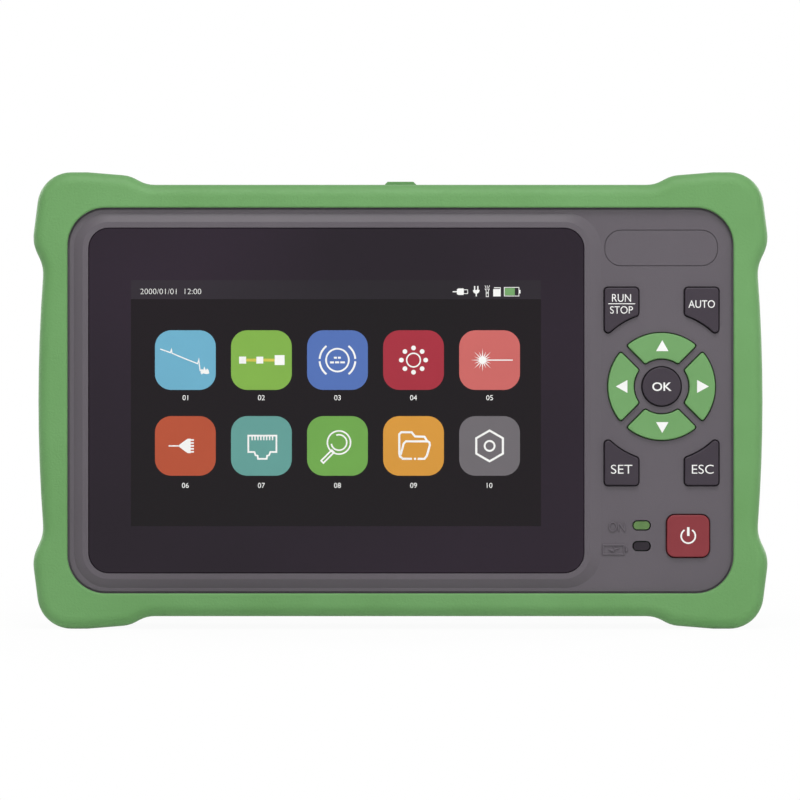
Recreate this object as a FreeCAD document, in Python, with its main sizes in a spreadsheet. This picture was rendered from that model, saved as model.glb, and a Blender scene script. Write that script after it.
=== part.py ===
import FreeCAD, Part
import math
import os
import re
import Sketcher
from FreeCAD import Placement, Rotation, Vector

# Hand-held optical time domain reflectometer in a rubber boot.
# It is drawn lying on its back: X to the right, Y to the top edge, Z out of the screen, with the
# middle of the case at the origin. stand_up() turns each finished piece upright on its lower edge.

os.makedirs("parts", exist_ok=True)
doc = FreeCAD.newDocument("fibre_reflectometer")

driving_sizes = {
    # case
    "case_width": 182.4,
    "case_height": 106.4,
    "case_depth": 43.6,
    "case_corner": 13.0,
    "case_edge": 1.5,
    "case_wall": 2.2,
    "front_wall": 2.6,
    "split_level": 4.0,
    "gasket_thick": 0.5,
    "tongue_wall": 1.0,
    "tongue_rise": 1.6,
    "fit_gap": 0.1,
    # rubber boot
    "boot_height": 120.4,
    "boot_side_wall": 4.3,
    "boot_top_wall": 3.7,
    "boot_lip": 1.6,
    "boot_round": 3.2,
    "boot_window_width": 175.4,
    "boot_window_height": 101.6,
    "boot_window_corner": 10.0,
    "boot_window_edge": 0.5,
    "lip_groove": 0.5,
    "lip_groove_deep": 0.6,
    "bumper_reach": 28.5,
    "bumper_ramp": 4.4,
    "bumper_step": 2.4,
    "sole_start": 13.0,
    "bumper_inset": 0.8,
    "bumper_bulge": 1.6,
    "bumper_drop": 18.7,
    "waist_inset": 1.4,
    "waist_drop": 25.0,
    "ramp_bend": 8.5,
    "bumper_bend": 9.0,
    "tip_bend": 9.9,
    "waist_bend": 9.6,
    # raised frame round the glass
    "plateau_rise": 0.9,
    "plateau_rim": 1.6,
    "plateau_slope": 2.3,
    "plateau_fade": 3.0,
    # touch glass and display
    "glass_left_margin": 9.05,
    "glass_end_margin": 7.75,
    "keypad_strip": 42.85,
    "glass_corner": 5.4,
    "glass_thick": 1.8,
    "glass_inset": 0.1,
    "glass_chamfer": 0.15,
    "glass_gap": 0.1,
    "tape_thick": 0.3,
    "lcd_side_border": 4.9,
    "lcd_end_border": 7.55,
    "lcd_thick": 2.9,
    "lcd_offset": 0.1,
    "lcd_drop": 0.66,
    "lcd_gap": 0.6,
    "bracket_thick": 1.0,
    "bracket_margin": 1.6,
    "bracket_ear": 4.0,
    "bracket_ear_inset": 12.0,
    # keypad
    "pad_across": 68.78,
    "pad_up": 3.69,
    "key_proud": 1.0,
    "key_gap": 0.3,
    "key_travel": 0.8,
    "key_edge": 0.35,
    "flange_reach": 0.6,
    "flange_thick": 1.0,
    "flange_gap": 0.1,
    "mat_gap": 0.3,
    "pill_radius": 1.6,
    "pill_clear": 0.1,
    "ring_outer": 14.1,
    "ring_inner": 7.35,
    "ring_spoke": 2.35,
    "ring_key_round": 0.6,
    "ok_radius": 5.1,
    "side_key_inner": 6.08,
    "side_key_outer": 15.03,
    "side_key_far": 26.05,
    "side_key_arc": 19.75,
    "side_key_round": 0.95,
    "power_across": 75.75,
    "power_down": 35.7,
    "power_width": 11.2,
    "power_height": 11.1,
    "power_round": 2.1,
    "mat_width": 34.0,
    "mat_height": 79.3,
    "mat_corner": 3.0,
    "mat_across": 69.1,
    "mat_down": 3.65,
    "mat_thick": 3.0,
    "board_thick": 1.6,
    "key_post_radius": 1.8,
    "key_post_side": 2.6,
    "key_post_top": 2.6,
    "key_post_low": 22.85,
    # indicator lenses and bare plate
    "led_across": 63.53,
    "led_on_down": 32.9,
    "led_charge_down": 38.35,
    "led_width": 4.2,
    "led_height": 2.1,
    "led_gap": 0.35,
    "led_corner": 1.0,
    "led_proud": 0.1,
    "chip_thick": 0.3,
    "chip_inset": 0.5,
    "plate_across": 68.7,
    "plate_up": 40.2,
    "plate_width": 29.5,
    "plate_height": 9.2,
    "plate_corner": 4.2,
    "plate_thick": 0.5,
    "plate_gap": 0.2,
    # case screws
    "screw_side": 15.2,
    "screw_top": 5.9,
    "screw_tube": 3.5,
    "screw_sink": 12.0,
    "screw_sink_radius": 2.9,
    "screw_head_radius": 2.75,
    "screw_head_thick": 1.8,
    "screw_radius": 1.5,
    "screw_gap": 0.1,
    "insert_radius": 2.2,
    "insert_length": 6.0,
    "small_screw_radius": 0.9,
    "small_head_radius": 1.7,
    "small_head_thick": 1.1,
    "small_screw_grip": 1.6,
    # kickstand
    "stand_width": 70.0,
    "stand_length": 56.0,
    "stand_thick": 3.0,
    "stand_corner": 6.0,
    "stand_hinge_up": 27.0,
    "stand_barrel": 1.8,
    "stand_gap": 0.6,
    "stand_inset": 0.2,
    "stand_floor_gap": 0.2,
    "stand_pin_radius": 1.0,
    "stand_pin_grip": 1.7,
    "stand_panel_margin": 8.0,
    "stand_panel_sink": 0.7,
    "running_gap": 0.05,
    "recess_floor": 2.8,
    "recess_wall": 2.4,
    "scoop_radius": 9.0,
    "scoop_depth": 2.2,
    # battery
    "battery_width": 54.0,
    "battery_height": 40.0,
    "battery_thick": 15.0,
    "battery_corner": 5.0,
    "battery_gap": 1.0,
    "battery_down": 2.0,
    "bay_wall": 1.4,
    "bay_rise": 9.0,
    "door_ledge_side": 5.0,
    "door_ledge_end": 2.5,
    "door_thick": 1.6,
    "door_gap": 0.15,
    "door_corner": 3.0,
    "door_screw_inset": 2.5,
    "door_head_sink": 1.1,
    # connector bay in the top edge and its hinged cover
    "well_end_room": 9.2,
    "well_floor_level": 43.1,
    "well_front": 13.2,
    "well_back": 16.2,
    "well_corner": 2.0,
    "bezel_wall": 2.4,
    "bezel_thin_wall": 1.6,
    "bezel_floor": 1.6,
    "bezel_drop": 0.2,
    "cover_barrel": 1.8,
    "cover_axis_back": 15.5,
    "cover_pin_radius": 1.0,
    "cover_thick": 3.6,
    "cover_room_slack": 0.2,
    "cover_ear_radius": 1.75,
    "cover_ear_gap": 0.2,
    "cover_round": 0.6,
    "cover_gap": 0.4,
    "cover_corner": 1.0,
    "cover_lip_width": 10.0,
    "cover_lip_crest": 6.8,
    "cover_lip_rise": 1.0,
    "cover_lip_deep": 2.2,
    # optical adapters
    "adapter_level": 1.5,
    "opm_across": 4.0,
    "adapter_pitch": 18.0,
    "ferrule_radius": 1.25,
    "ferrule_depth": 10.0,
    "sleeve_wall": 0.4,
    "adapter_rise": 8.5,
    "adapter_tail": 12.0,
    "adapter_flange": 12.0,
    "adapter_flange_thick": 1.5,
    "adapter_hole": 4.4,
    "otdr_tube": 4.0,
    "vfl_tube": 3.5,
    "opm_tube": 5.0,
    "adapter_wall": 0.8,
    "adapter_gap": 0.15,
    "laser_radius": 4.0,
    "laser_length": 9.0,
    "detector_radius": 4.6,
    "detector_length": 4.0,
    # copper jacks on the port board
    "port_board_level": 8.85,
    "jack_width": 16.0,
    "jack_thick": 13.5,
    "jack_length": 21.0,
    "jack_rise": 3.9,
    "jack_1_across": 18.0,
    "jack_pitch": 20.0,
    "jack_gap": 0.15,
    "plate_edge": 4.0,
    "jack_mouth_width": 11.8,
    "jack_mouth_thick": 7.0,
    "jack_latch_width": 6.2,
    "jack_latch_thick": 2.6,
    "jack_mouth_depth": 13.0,
    "port_board_left": 8.0,
    "port_board_notch": 42.0,
    "port_board_right": 86.0,
    "port_board_top": 38.5,
    "port_board_shelf": 26.0,
    "port_board_bottom": 36.0,
    "board_inset": 4.0,
    # side sockets and their flap
    "usb_a_up": 0.0,
    "usb_a_width": 13.1,
    "usb_a_thick": 5.7,
    "usb_a_length": 14.0,
    "usb_c_up": -13.5,
    "usb_c_width": 8.9,
    "usb_c_thick": 3.3,
    "usb_c_length": 7.4,
    "card_up": -26.0,
    "card_width": 12.4,
    "card_thick": 1.8,
    "card_length": 14.0,
    "socket_wall": 0.35,
    "socket_gap": 0.3,
    "socket_inset": 0.4,
    "socket_tongue_side": 1.4,
    "flap_width": 46.0,
    "flap_thick": 16.0,
    "flap_up": -13.0,
    "flap_level": -6.0,
    "flap_gap": 0.3,
    "flap_hinge_gap": 0.5,
    "flap_corner": 2.0,
    "flap_flush": 0.15,
    "flap_lift": 0.2,
    # torch in the top edge
    "torch_clear": 7.9,
    "torch_level": -2.0,
    "torch_radius": 2.6,
    "torch_gap": 0.15,
    "torch_length": 5.6,
    "torch_inset": 0.3,
    "torch_led_length": 7.0,
    # boards and modules inside
    "main_board_overhang": 2.65,
    "main_board_inset": 1.9,
    "main_board_up": -2.0,
    "main_board_drop": 3.4,
    "standoff_radius": 2.5,
    "standoff_side": 8.0,
    "standoff_end": 5.0,
    "module_width": 40.0,
    "module_height": 68.0,
    "module_thick": 20.0,
    "module_side": 5.2,
    "module_corner": 3.0,
    "module_foot": 1.0,
    "coil_radius": 15.0,
    "coil_thick": 1.6,
    "can_width": 34.0,
    "can_height": 26.0,
    "can_thick": 3.0,
    "can_spacing": 44.0,
    "buzzer_radius": 6.0,
    "buzzer_thick": 4.5,
    "cell_radius": 6.25,
    "cell_thick": 2.5,
}

# Levels and lines worked out from the driving sizes
worked_places = {
    "front": "case_depth / 2",
    "back": "-case_depth / 2",
    "inner_front": "front - front_wall",
    "inner_back": "back + case_wall",
    "plateau": "front + plateau_rise",
    "front_split": "split_level + gasket_thick / 2",
    "rear_split": "split_level - gasket_thick / 2",
    "case_top": "case_height / 2",
    "case_right": "case_width / 2",
    "boot_right": "case_right + boot_side_wall",
    "boot_top": "case_top + boot_top_wall",
    "boot_front": "front + boot_lip",
    "sole": "boot_height / 2",
    "glass_front": "plateau - glass_inset",
    "glass_back": "glass_front - glass_thick",
    "ledge": "glass_back - tape_thick",
    "lcd_back": "glass_back - lcd_thick",
    "bracket_back": "lcd_back - bracket_thick",
    "glass_width": "case_width - glass_left_margin - keypad_strip",
    "glass_height": "case_height - 2 * glass_end_margin",
    "glass_shift": "(keypad_strip - glass_left_margin) / 2",
    "lcd_width": "glass_width - 2 * lcd_side_border",
    "lcd_height": "glass_height - 2 * lcd_end_border",
    "lcd_shift": "glass_shift + lcd_offset",
    "main_board_width": "lcd_width + 2 * main_board_overhang",
    "main_board_height": "lcd_height - 2 * main_board_inset",
    "ear_up": "lcd_height / 2 + bracket_ear",
    "flange_front": "inner_front - flange_gap",
    "flange_back": "flange_front - flange_thick",
    "key_board_front": "inner_front - mat_thick",
    "key_board_back": "key_board_front - board_thick",
    "pill_back": "key_board_front + key_travel + pill_clear",
    "screw_x": "case_right - screw_side",
    "screw_y": "case_top - screw_top",
    "screw_seat": "back + screw_sink",
    "stand_back": "back + stand_inset",
    "stand_axis": "stand_back + stand_barrel",
    "recess_level": "stand_axis + stand_barrel + stand_floor_gap",
    "recess_top": "stand_hinge_up + stand_barrel + stand_gap",
    "recess_bottom": "stand_hinge_up - stand_length - stand_gap",
    "recess_inner": "recess_level + recess_floor",
    "door_inner": "recess_level + door_thick",
    "otdr_across": "opm_across + adapter_pitch",
    "vfl_across": "otdr_across + adapter_pitch",
    "jack_2_across": "jack_1_across + jack_pitch",
    "well_half": "vfl_across + well_end_room",
    "well_width": "2 * well_half",
    "bezel_half": "well_half + bezel_wall",
    "bezel_front": "well_front + bezel_thin_wall",
    "bezel_back": "well_back + bezel_thin_wall",
    "bezel_top": "case_top - bezel_drop",
    "bezel_bottom": "well_floor_level - bezel_floor",
    "cover_axis_up": "boot_top - cover_barrel",
    "cover_under": "boot_top - cover_thick",
    "cover_front": "bezel_front + cover_room_slack",
    "cover_room_front": "cover_front + cover_gap",
    "cover_room_back": "cover_axis_back + cover_barrel + cover_gap + cover_room_slack",
    "waist_up": "sole - waist_drop",
    "side_radius": "(waist_up * waist_up + waist_inset * waist_inset) / (2 * waist_inset)",
    "torch_mouth": "boot_top - torch_inset",
    "torch_across": "bezel_half + torch_clear",
    "board_front": "bracket_back - main_board_drop",
    "board_back": "board_front - board_thick",
    "jack_bottom": "well_floor_level + jack_rise - jack_length",
    "plate_seam": "jack_1_across - jack_width / 2 - plate_edge",
    "socket_mouth": "case_right - socket_inset",
    "module_left": "-case_right + module_side",
    "module_back": "inner_back + module_foot",
    "module_across": "module_left + module_width / 2",
    "opening_width": "battery_width + 2 * battery_gap",
    "opening_height": "battery_height + 2 * battery_gap",
    "door_width": "opening_width + 2 * door_ledge_side",
    "door_height": "opening_height + 2 * door_ledge_end",
    "door_screw_x": "door_width / 2 - door_screw_inset",
    "port_board_front": "-port_board_level",
    "port_board_back": "port_board_front - board_thick",
    "adapter_top": "well_floor_level + adapter_rise",
    "adapter_end": "well_floor_level - adapter_tail",
    "jack_top": "well_floor_level + jack_rise",
    "jack_level": "port_board_front + jack_thick / 2",
}


def fill_sheet(sheet, rows):
    for row, (alias, content) in enumerate(rows.items(), 1):
        sheet.set(f"A{row}", alias)
        sheet.set(f"B{row}", content)
        sheet.setAlias(f"B{row}", alias)
    sheet.recompute()


def with_sheet_names(formula, own_sheet=None):
    def prefixed(match):
        word = match.group()
        if word in driving_sizes:
            return "sizes." + word
        if word in worked_places and own_sheet != "places":
            return "places." + word
        return word
    return re.sub(r"[a-z][a-z0-9_]*", prefixed, str(formula))


sizes = doc.addObject("Spreadsheet::Sheet", "sizes")
fill_sheet(sizes, {alias: str(value) for alias, value in driving_sizes.items()})
places = doc.addObject("Spreadsheet::Sheet", "places")
fill_sheet(places, {alias: "=" + with_sheet_names(formula, "places")
                    for alias, formula in worked_places.items()})
worked_value = doc.addObject("Spreadsheet::Sheet", "worked_value")
doc.recompute()


def number(formula):
    worked_value.set("A1", "=" + with_sheet_names(formula))
    worked_value.recompute()
    return float(worked_value.get("A1"))


# Sketches and features

plane_direction = {"XY": 1, "XZ": -1, "YZ": 1}


def bind(sketch, constraint, formula):
    index = sketch.addConstraint(constraint)
    name = f"size_{index}"
    sketch.renameConstraint(index, name)
    sketch.setExpression("Constraints." + name, with_sheet_names(formula))


def place_point(sketch, geometry, point, across, up):
    bind(sketch, Sketcher.Constraint("DistanceX", -1, 1, geometry, point, number(across)), across)
    bind(sketch, Sketcher.Constraint("DistanceY", -1, 1, geometry, point, number(up)), up)


def disc(across, up, radius):
    def draw(sketch):
        centre = Vector(number(across), number(up), 0)
        circle = sketch.addGeometry(Part.Circle(centre, Vector(0, 0, 1), number(radius)), False)
        bind(sketch, Sketcher.Constraint("Radius", circle, number(radius)), radius)
        place_point(sketch, circle, 3, across, up)
    return draw


def polygon(points):
    def draw(sketch):
        corners = [Vector(number(across), number(up), 0) for across, up in points]
        lines = []
        for here, there in zip(corners, corners[1:] + corners[:1]):
            lines.append(sketch.addGeometry(Part.LineSegment(here, there), False))
        for line, following in zip(lines, lines[1:] + lines[:1]):
            sketch.addConstraint(Sketcher.Constraint("Coincident", line, 2, following, 1))
        for line, (across, up) in zip(lines, points):
            place_point(sketch, line, 1, across, up)
    return draw


def box(across, up, width, height):
    left, right = f"{across} - ({width}) / 2", f"{across} + ({width}) / 2"
    low, high = f"{up} - ({height}) / 2", f"{up} + ({height}) / 2"
    return polygon([(left, low), (right, low), (right, high), (left, high)])


def rounded(across, up, width, height, radius):
    def draw(sketch):
        x, y, bend = number(across), number(up), number(radius)
        right, top = number(width) / 2, number(height) / 2
        turns = [(1, -1), (1, 1), (-1, 1), (-1, -1)]
        centres = [Vector(x + sx * (right - bend), y + sy * (top - bend), 0) for sx, sy in turns]
        geometry = []
        for index, centre in enumerate(centres):
            start = (index - 1) * math.pi / 2
            leave = Vector(math.cos(start), math.sin(start), 0) * bend
            before = centres[index - 1]
            geometry.append(sketch.addGeometry(Part.LineSegment(before + leave, centre + leave), False))
            circle = Part.Circle(centre, Vector(0, 0, 1), bend)
            geometry.append(sketch.addGeometry(
                Part.ArcOfCircle(circle, start, start + math.pi / 2), False))
        for piece, following in zip(geometry, geometry[1:] + geometry[:1]):
            sketch.addConstraint(Sketcher.Constraint("Tangent", piece, 2, following, 1))
        bottom_line, right_line, top_line, left_line = geometry[0::2]
        for line in (bottom_line, top_line):
            sketch.addConstraint(Sketcher.Constraint("Horizontal", line))
        for line in (right_line, left_line):
            sketch.addConstraint(Sketcher.Constraint("Vertical", line))
        first_arc = geometry[1]
        for arc in geometry[3::2]:
            sketch.addConstraint(Sketcher.Constraint("Equal", first_arc, arc))
        bind(sketch, Sketcher.Constraint("Radius", first_arc, bend), radius)
        for line, sign in ((right_line, "+"), (left_line, "-")):
            place = f"{across} {sign} ({width}) / 2"
            bind(sketch, Sketcher.Constraint("DistanceX", -1, 1, line, 1, number(place)), place)
        for line, sign in ((top_line, "+"), (bottom_line, "-")):
            place = f"{up} {sign} ({height}) / 2"
            bind(sketch, Sketcher.Constraint("DistanceY", -1, 1, line, 1, number(place)), place)
    return draw


def new_body(name):
    return doc.addObject("PartDesign::Body", name + "_body")


def new_sketch(body, name, plane, level, drawings):
    sketch = body.newObject("Sketcher::SketchObject", name)
    role = plane + "_Plane"
    origin_plane = [part for part in body.Origin.OriginFeatures if part.Role == role][0]
    sketch.AttachmentSupport = (origin_plane, [""])
    sketch.MapMode = "FlatFace"
    offset = f"{plane_direction[plane]} * ({level})"
    sketch.setExpression("AttachmentOffset.Base.z", with_sheet_names(offset))
    for draw in drawings:
        draw(sketch)
    return sketch


def extrude(body, name, drawings, start, end, plane, kind, default_direction):
    sketch = new_sketch(body, name + "_outline", plane, start, drawings)
    feature = body.newObject(kind, name)
    feature.Profile = sketch
    forward = number(end) > number(start)
    length = f"({end}) - ({start})" if forward else f"({start}) - ({end})"
    feature.setExpression("Length", with_sheet_names(length))
    wanted = 1 if forward else -1
    feature.Reversed = wanted != default_direction * plane_direction[plane]
    sketch.Visibility = False
    doc.recompute()
    return feature


def add(body, name, drawings, start, end, plane="XY"):
    return extrude(body, name, drawings, start, end, plane, "PartDesign::Pad", 1)


def cut(body, name, drawings, start, end, plane="XY"):
    before = body.Shape.Volume
    feature = extrude(body, name, drawings, start, end, plane, "PartDesign::Pocket", -1)
    if body.Shape.Volume > before - 1e-6:
        raise RuntimeError(f"{name} removes nothing from {body.Name}")
    return feature


def round_edges(body, name, radius, chosen, kind="PartDesign::Fillet"):
    tip = body.Tip
    names = [f"Edge{index}" for index, edge in enumerate(tip.Shape.Edges, 1) if chosen(edge)]
    if not names:
        raise RuntimeError(f"{name} finds no edge on {body.Name}")
    feature = body.newObject(kind, name)
    feature.Base = (tip, names)
    size = "Radius" if kind.endswith("Fillet") else "Size"
    feature.setExpression(size, with_sheet_names(radius))
    doc.recompute()
    return feature


def upright_at(points):
    spots = [(number(across), number(up)) for across, up in points]

    def chosen(edge):
        if not is_upright(edge):
            return False
        end = edge.Vertexes[0].Point
        return any(math.hypot(end.x - x, end.y - y) < 1e-3 for x, y in spots)
    return chosen


def is_upright(edge):
    if len(edge.Vertexes) != 2:
        return False
    low, high = [vertex.Point for vertex in edge.Vertexes]
    return math.hypot(high.x - low.x, high.y - low.y) < 1e-4


def flat_at(level, half_width=None, half_height=None):
    z = number(level)
    widest = number(half_width) + 1e-3 if half_width else math.inf
    highest = number(half_height) + 1e-3 if half_height else math.inf

    def chosen(edge):
        ends = edge.BoundBox
        if abs(ends.ZMin - z) > 1e-4 or abs(ends.ZMax - z) > 1e-4:
            return False
        return max(abs(ends.XMax), abs(ends.XMin)) < widest and max(abs(ends.YMax), abs(ends.YMin)) < highest
    return chosen


def edges_along(up, level):
    y, z = number(up), number(level)

    def chosen(edge):
        ends = edge.BoundBox
        return max(abs(ends.YMin - y), abs(ends.YMax - y), abs(ends.ZMin - z), abs(ends.ZMax - z)) < 1e-4
    return chosen


# Finished pieces

finished = []
upright = Rotation(Vector(1, 0, 0), 90)


def stand_up(piece, label):
    piece.Label = label
    piece.Placement = Placement(Vector(0, 0, number("sole")), upright)
    piece.setExpression("Placement.Base.z", with_sheet_names("sole"))
    finished.append(piece)
    return piece


def shaped(label, shape):
    piece = doc.addObject("Part::Feature", label + "_shape")
    piece.Shape = shape
    return stand_up(piece, label)


def slab(label, drawings, start, end, plane="XY"):
    body = new_body(label)
    add(body, label + "_slab", drawings, start, end, plane)
    return stand_up(body, label)


def cylinder(name, across, up, radius, start, end):
    rod = doc.addObject("Part::Cylinder", name)
    rod.setExpression("Radius", with_sheet_names(radius))
    rod.setExpression("Height", with_sheet_names(f"({end}) - ({start})"))
    rod.setExpression("Placement.Base.x", with_sheet_names(across))
    rod.setExpression("Placement.Base.y", with_sheet_names(up))
    rod.setExpression("Placement.Base.z", with_sheet_names(start))
    return rod


def screws(label, spots, seat, head_radius, head_thick, radius, tip):
    copies = []
    for index, (across, up) in enumerate(spots, 1):
        head = cylinder(f"{label}_head_{index}", across, up, head_radius,
                        f"{seat} - {head_thick}", seat)
        shank = cylinder(f"{label}_shank_{index}", across, up, radius, seat, tip)
        screw = doc.addObject("Part::Fuse", f"{label}_{index}")
        screw.Base = head
        screw.Tool = shank
        copies.append(screw)
    group = doc.addObject("Part::Compound", label + "_group")
    group.Links = copies
    doc.recompute()
    return stand_up(group, label)


def four_corners(side, end, across="0", up="0"):
    return [(f"{across} + {sx} * ({side})", f"{up} + {sy} * ({end})")
            for sx, sy in ((1, 1), (-1, 1), (-1, -1), (1, -1))]


# Keys: one outline serves the cap, its flange, its opening in the shell and its hole in the mat

def side_key(sx, sy):
    def prism(grow, start, end):
        inner, outer = number("side_key_inner") - grow, number("side_key_outer") + grow
        far, arc = number("side_key_far") + grow, number("side_key_arc") - grow
        block = Part.makeBox(outer - inner, far, end - start, Vector(inner, 0, start))
        solid = block.cut(Part.makeCylinder(arc, end - start, Vector(0, 0, start)))
        solid = solid.makeFillet(number("side_key_round") + grow, upright_edges(solid))
        if sx < 0:
            solid = solid.mirror(Vector(0, 0, 0), Vector(1, 0, 0))
        if sy < 0:
            solid = solid.mirror(Vector(0, 0, 0), Vector(0, 1, 0))
        return at_pad(solid)
    return prism


def ring_key(turn):
    def prism(grow, start, end):
        rise = end - start
        ring = Part.makeCylinder(number("ring_outer") + grow, rise, Vector(0, 0, start))
        ring = ring.cut(Part.makeCylinder(number("ring_inner") - grow, rise, Vector(0, 0, start)))
        half_spoke = number("ring_spoke") / 2 - grow
        side = number("ring_outer") * 2
        quarter = Part.makeBox(side, side, rise, Vector(half_spoke, half_spoke, start))
        quarter.rotate(Vector(0, 0, 0), Vector(0, 0, 1), 45)
        solid = ring.common(quarter)
        solid = solid.makeFillet(number("ring_key_round") + grow / 2, upright_edges(solid))
        solid.rotate(Vector(0, 0, 0), Vector(0, 0, 1), turn)
        return at_pad(solid)
    return prism


def ok_key(grow, start, end):
    return at_pad(Part.makeCylinder(number("ok_radius") + grow, end - start, Vector(0, 0, start)))


def power_key(grow, start, end):
    width, height = number("power_width") + 2 * grow, number("power_height") + 2 * grow
    corner = Vector(number("power_across") - width / 2, -number("power_down") - height / 2, start)
    solid = Part.makeBox(width, height, end - start, corner)
    return solid.makeFillet(number("power_round") + grow, upright_edges(solid))


def upright_edges(solid):
    return [edge for edge in solid.Edges if is_upright(edge)]


def at_pad(solid):
    return solid.translated(Vector(number("pad_across"), number("pad_up"), 0))


key_prisms = {
    "key_run_stop": side_key(-1, 1),
    "key_auto": side_key(1, 1),
    "key_set": side_key(-1, -1),
    "key_esc": side_key(1, -1),
    "key_right": ring_key(-90),
    "key_up": ring_key(0),
    "key_left": ring_key(90),
    "key_down": ring_key(180),
    "key_ok": ok_key,
    "key_power": power_key,
}


def make_key(label, prism):
    crown = number("front + key_proud")
    back, front = number("flange_back"), number("flange_front")
    cap = prism(0, front, crown)
    crown_edges = [edge for edge in cap.Edges if edge.BoundBox.ZMin > crown - 1e-4]
    cap = cap.makeFillet(number("key_edge"), crown_edges)
    flange = prism(number("flange_reach"), back, front)
    middle = prism(0, back, front).Solids[0].CenterOfMass
    pill_back = number("pill_back")
    pill = Part.makeCylinder(number("pill_radius"), back - pill_back, Vector(middle.x, middle.y, pill_back))
    return shaped(label, cap.fuse([flange, pill]).removeSplitter())


def make_keys():
    for label, prism in key_prisms.items():
        make_key(label, prism)


def key_openings(name, grow, start, end, labels=None):
    openings = doc.addObject("Part::Feature", name)
    chosen = [prism for label, prism in key_prisms.items() if labels is None or label in labels]
    openings.Shape = Part.makeCompound([prism(grow, start, end) for prism in chosen])
    return openings


# Rubber boot: thick bumpers at the corners, a waist between them, windows for screen and sockets

def boot_quadrant():
    return {
        "ramp": [("boot_right - bumper_reach", "boot_top"),
                 ("boot_right - bumper_reach + bumper_ramp", "boot_top + bumper_step")],
        "sole": [("boot_right - sole_start", "sole")],
        "bumper": [("boot_right - bumper_inset", "sole")],
        "tip": [("boot_right + bumper_bulge", "sole - bumper_drop")],
        "waist": [("boot_right - waist_inset", "sole - waist_drop")],
    }


def mirrored(points, sx, sy):
    return [(f"{sx} * ({across})", f"{sy} * ({up})") for across, up in points]


def boot_outline(sketch):
    corner = [point for points in boot_quadrant().values() for point in points]
    runs = [mirrored(corner, 1, 1)[::-1], mirrored(corner, -1, 1),
            mirrored(corner, -1, -1)[::-1], mirrored(corner, 1, -1)]
    points = [point for run in runs for point in run]
    spots = [Vector(number(across), number(up), 0) for across, up in points]
    side_after = {2 * len(corner) - 1: "-boot_right", 4 * len(corner) - 1: "boot_right"}
    geometry = []
    for index, here in enumerate(spots):
        there = spots[(index + 1) % len(spots)]
        if index in side_after:
            middle = Vector(number(side_after[index]), 0, 0)
            arc = Part.Arc(here, middle, there)
            geometry.append(sketch.addGeometry(arc, False))
        else:
            geometry.append(sketch.addGeometry(Part.LineSegment(here, there), False))
    for line, following in zip(geometry, geometry[1:] + geometry[:1]):
        sketch.addConstraint(Sketcher.Constraint("Coincident", line, 2, following, 1))
    for index in side_after:
        bind(sketch, Sketcher.Constraint("Radius", geometry[index], number("side_radius")), "side_radius")
    for index, (across, up) in enumerate(points):
        place_point(sketch, geometry[index], 1, across, up)


def window_outline(grow="0"):
    return rounded("0", "0", f"boot_window_width + 2 * ({grow})", f"boot_window_height + 2 * ({grow})",
                   f"boot_window_corner + ({grow})")


def boot_blank(name):
    body = new_body(name)
    add(body, name + "_blank", [boot_outline], "-boot_front", "boot_front")
    bends = {"ramp": "ramp_bend", "bumper": "bumper_bend", "tip": "tip_bend", "waist": "waist_bend"}
    for part, bend in bends.items():
        points = boot_quadrant()[part]
        spots = [spot for sx in (1, -1) for sy in (1, -1) for spot in mirrored(points, sx, sy)]
        round_edges(body, f"{name}_{part}_bend", bend, upright_at(spots))
    return body


def make_boot():
    body = boot_blank("boot")
    rims = [flat_at("boot_front"), flat_at("-boot_front")]
    round_edges(body, "boot_outer_round", "boot_round", lambda edge: any(rim(edge) for rim in rims))
    cut(body, "screen_window", [window_outline()], "boot_front", "-boot_front")
    cavity = rounded("0", "0", "case_width + 2 * fit_gap", "case_height + 2 * fit_gap",
                     "case_corner + fit_gap")
    cut(body, "case_cavity", [cavity], "front + fit_gap", "back - fit_gap")
    rims = [flat_at(level, "boot_window_width / 2", "boot_window_height / 2")
            for level in ("boot_front", "-boot_front")]
    round_edges(body, "window_round", "boot_window_edge", lambda edge: any(rim(edge) for rim in rims))
    cover_room = rounded("0", "(cover_room_front - cover_room_back) / 2", "2 * (bezel_half + cover_gap)",
                         "cover_room_front + cover_room_back", "cover_corner")
    cut(body, "cover_window", [cover_room], "boot_top + bumper_step", "case_top - fit_gap", "XZ")
    torch = disc("torch_across", "torch_level", "torch_radius + torch_gap")
    cut(body, "torch_hole", [torch], "boot_top + bumper_step", "case_top - fit_gap", "XZ")
    for name, outline in (("flap_window", flap_outline("flap_gap")),
                          ("flap_hinge_room", flap_hinge_end("flap_gap", "flap_hinge_gap"))):
        cut(body, name, [outline], "boot_right + bumper_bulge", "case_right - fit_gap", "YZ")
    return stand_up(body, "boot")


def flap_outline(grow="0"):
    return rounded("flap_up", "flap_level", f"flap_width + 2 * {grow}", f"flap_thick + 2 * {grow}",
                   f"flap_corner + {grow}")


def flap_hinge_end(grow="0", grow_up="0"):
    # The hinge end is square, so the flap can swing up past the window's corners
    end = f"flap_up + flap_width / 2 + {grow_up}"
    low, half = "flap_up + flap_width / 2 - 2 * flap_corner", f"(flap_thick / 2 + {grow})"
    return polygon([(low, f"flap_level - {half}"), (end, f"flap_level - {half}"),
                    (end, f"flap_level + {half}"), (low, f"flap_level + {half}")])


def case_outline(inset="0"):
    return rounded("0", "0", f"case_width - 2 * ({inset})", f"case_height - 2 * ({inset})",
                   f"case_corner - ({inset})")


def screw_spots():
    return four_corners("screw_x", "screw_y")


def discs(spots, radius):
    return [disc(across, up, radius) for across, up in spots]


def port_cutout(low, high):
    edge = "(bezel_half + fit_gap)"
    return polygon([(f"-{edge}", low), (edge, low), (edge, high), (f"-{edge}", high)])


def glass_outline(grow="0"):
    return rounded("-glass_shift", "0", f"glass_width + 2 * ({grow})", f"glass_height + 2 * ({grow})",
                   f"glass_corner + ({grow})")


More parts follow.
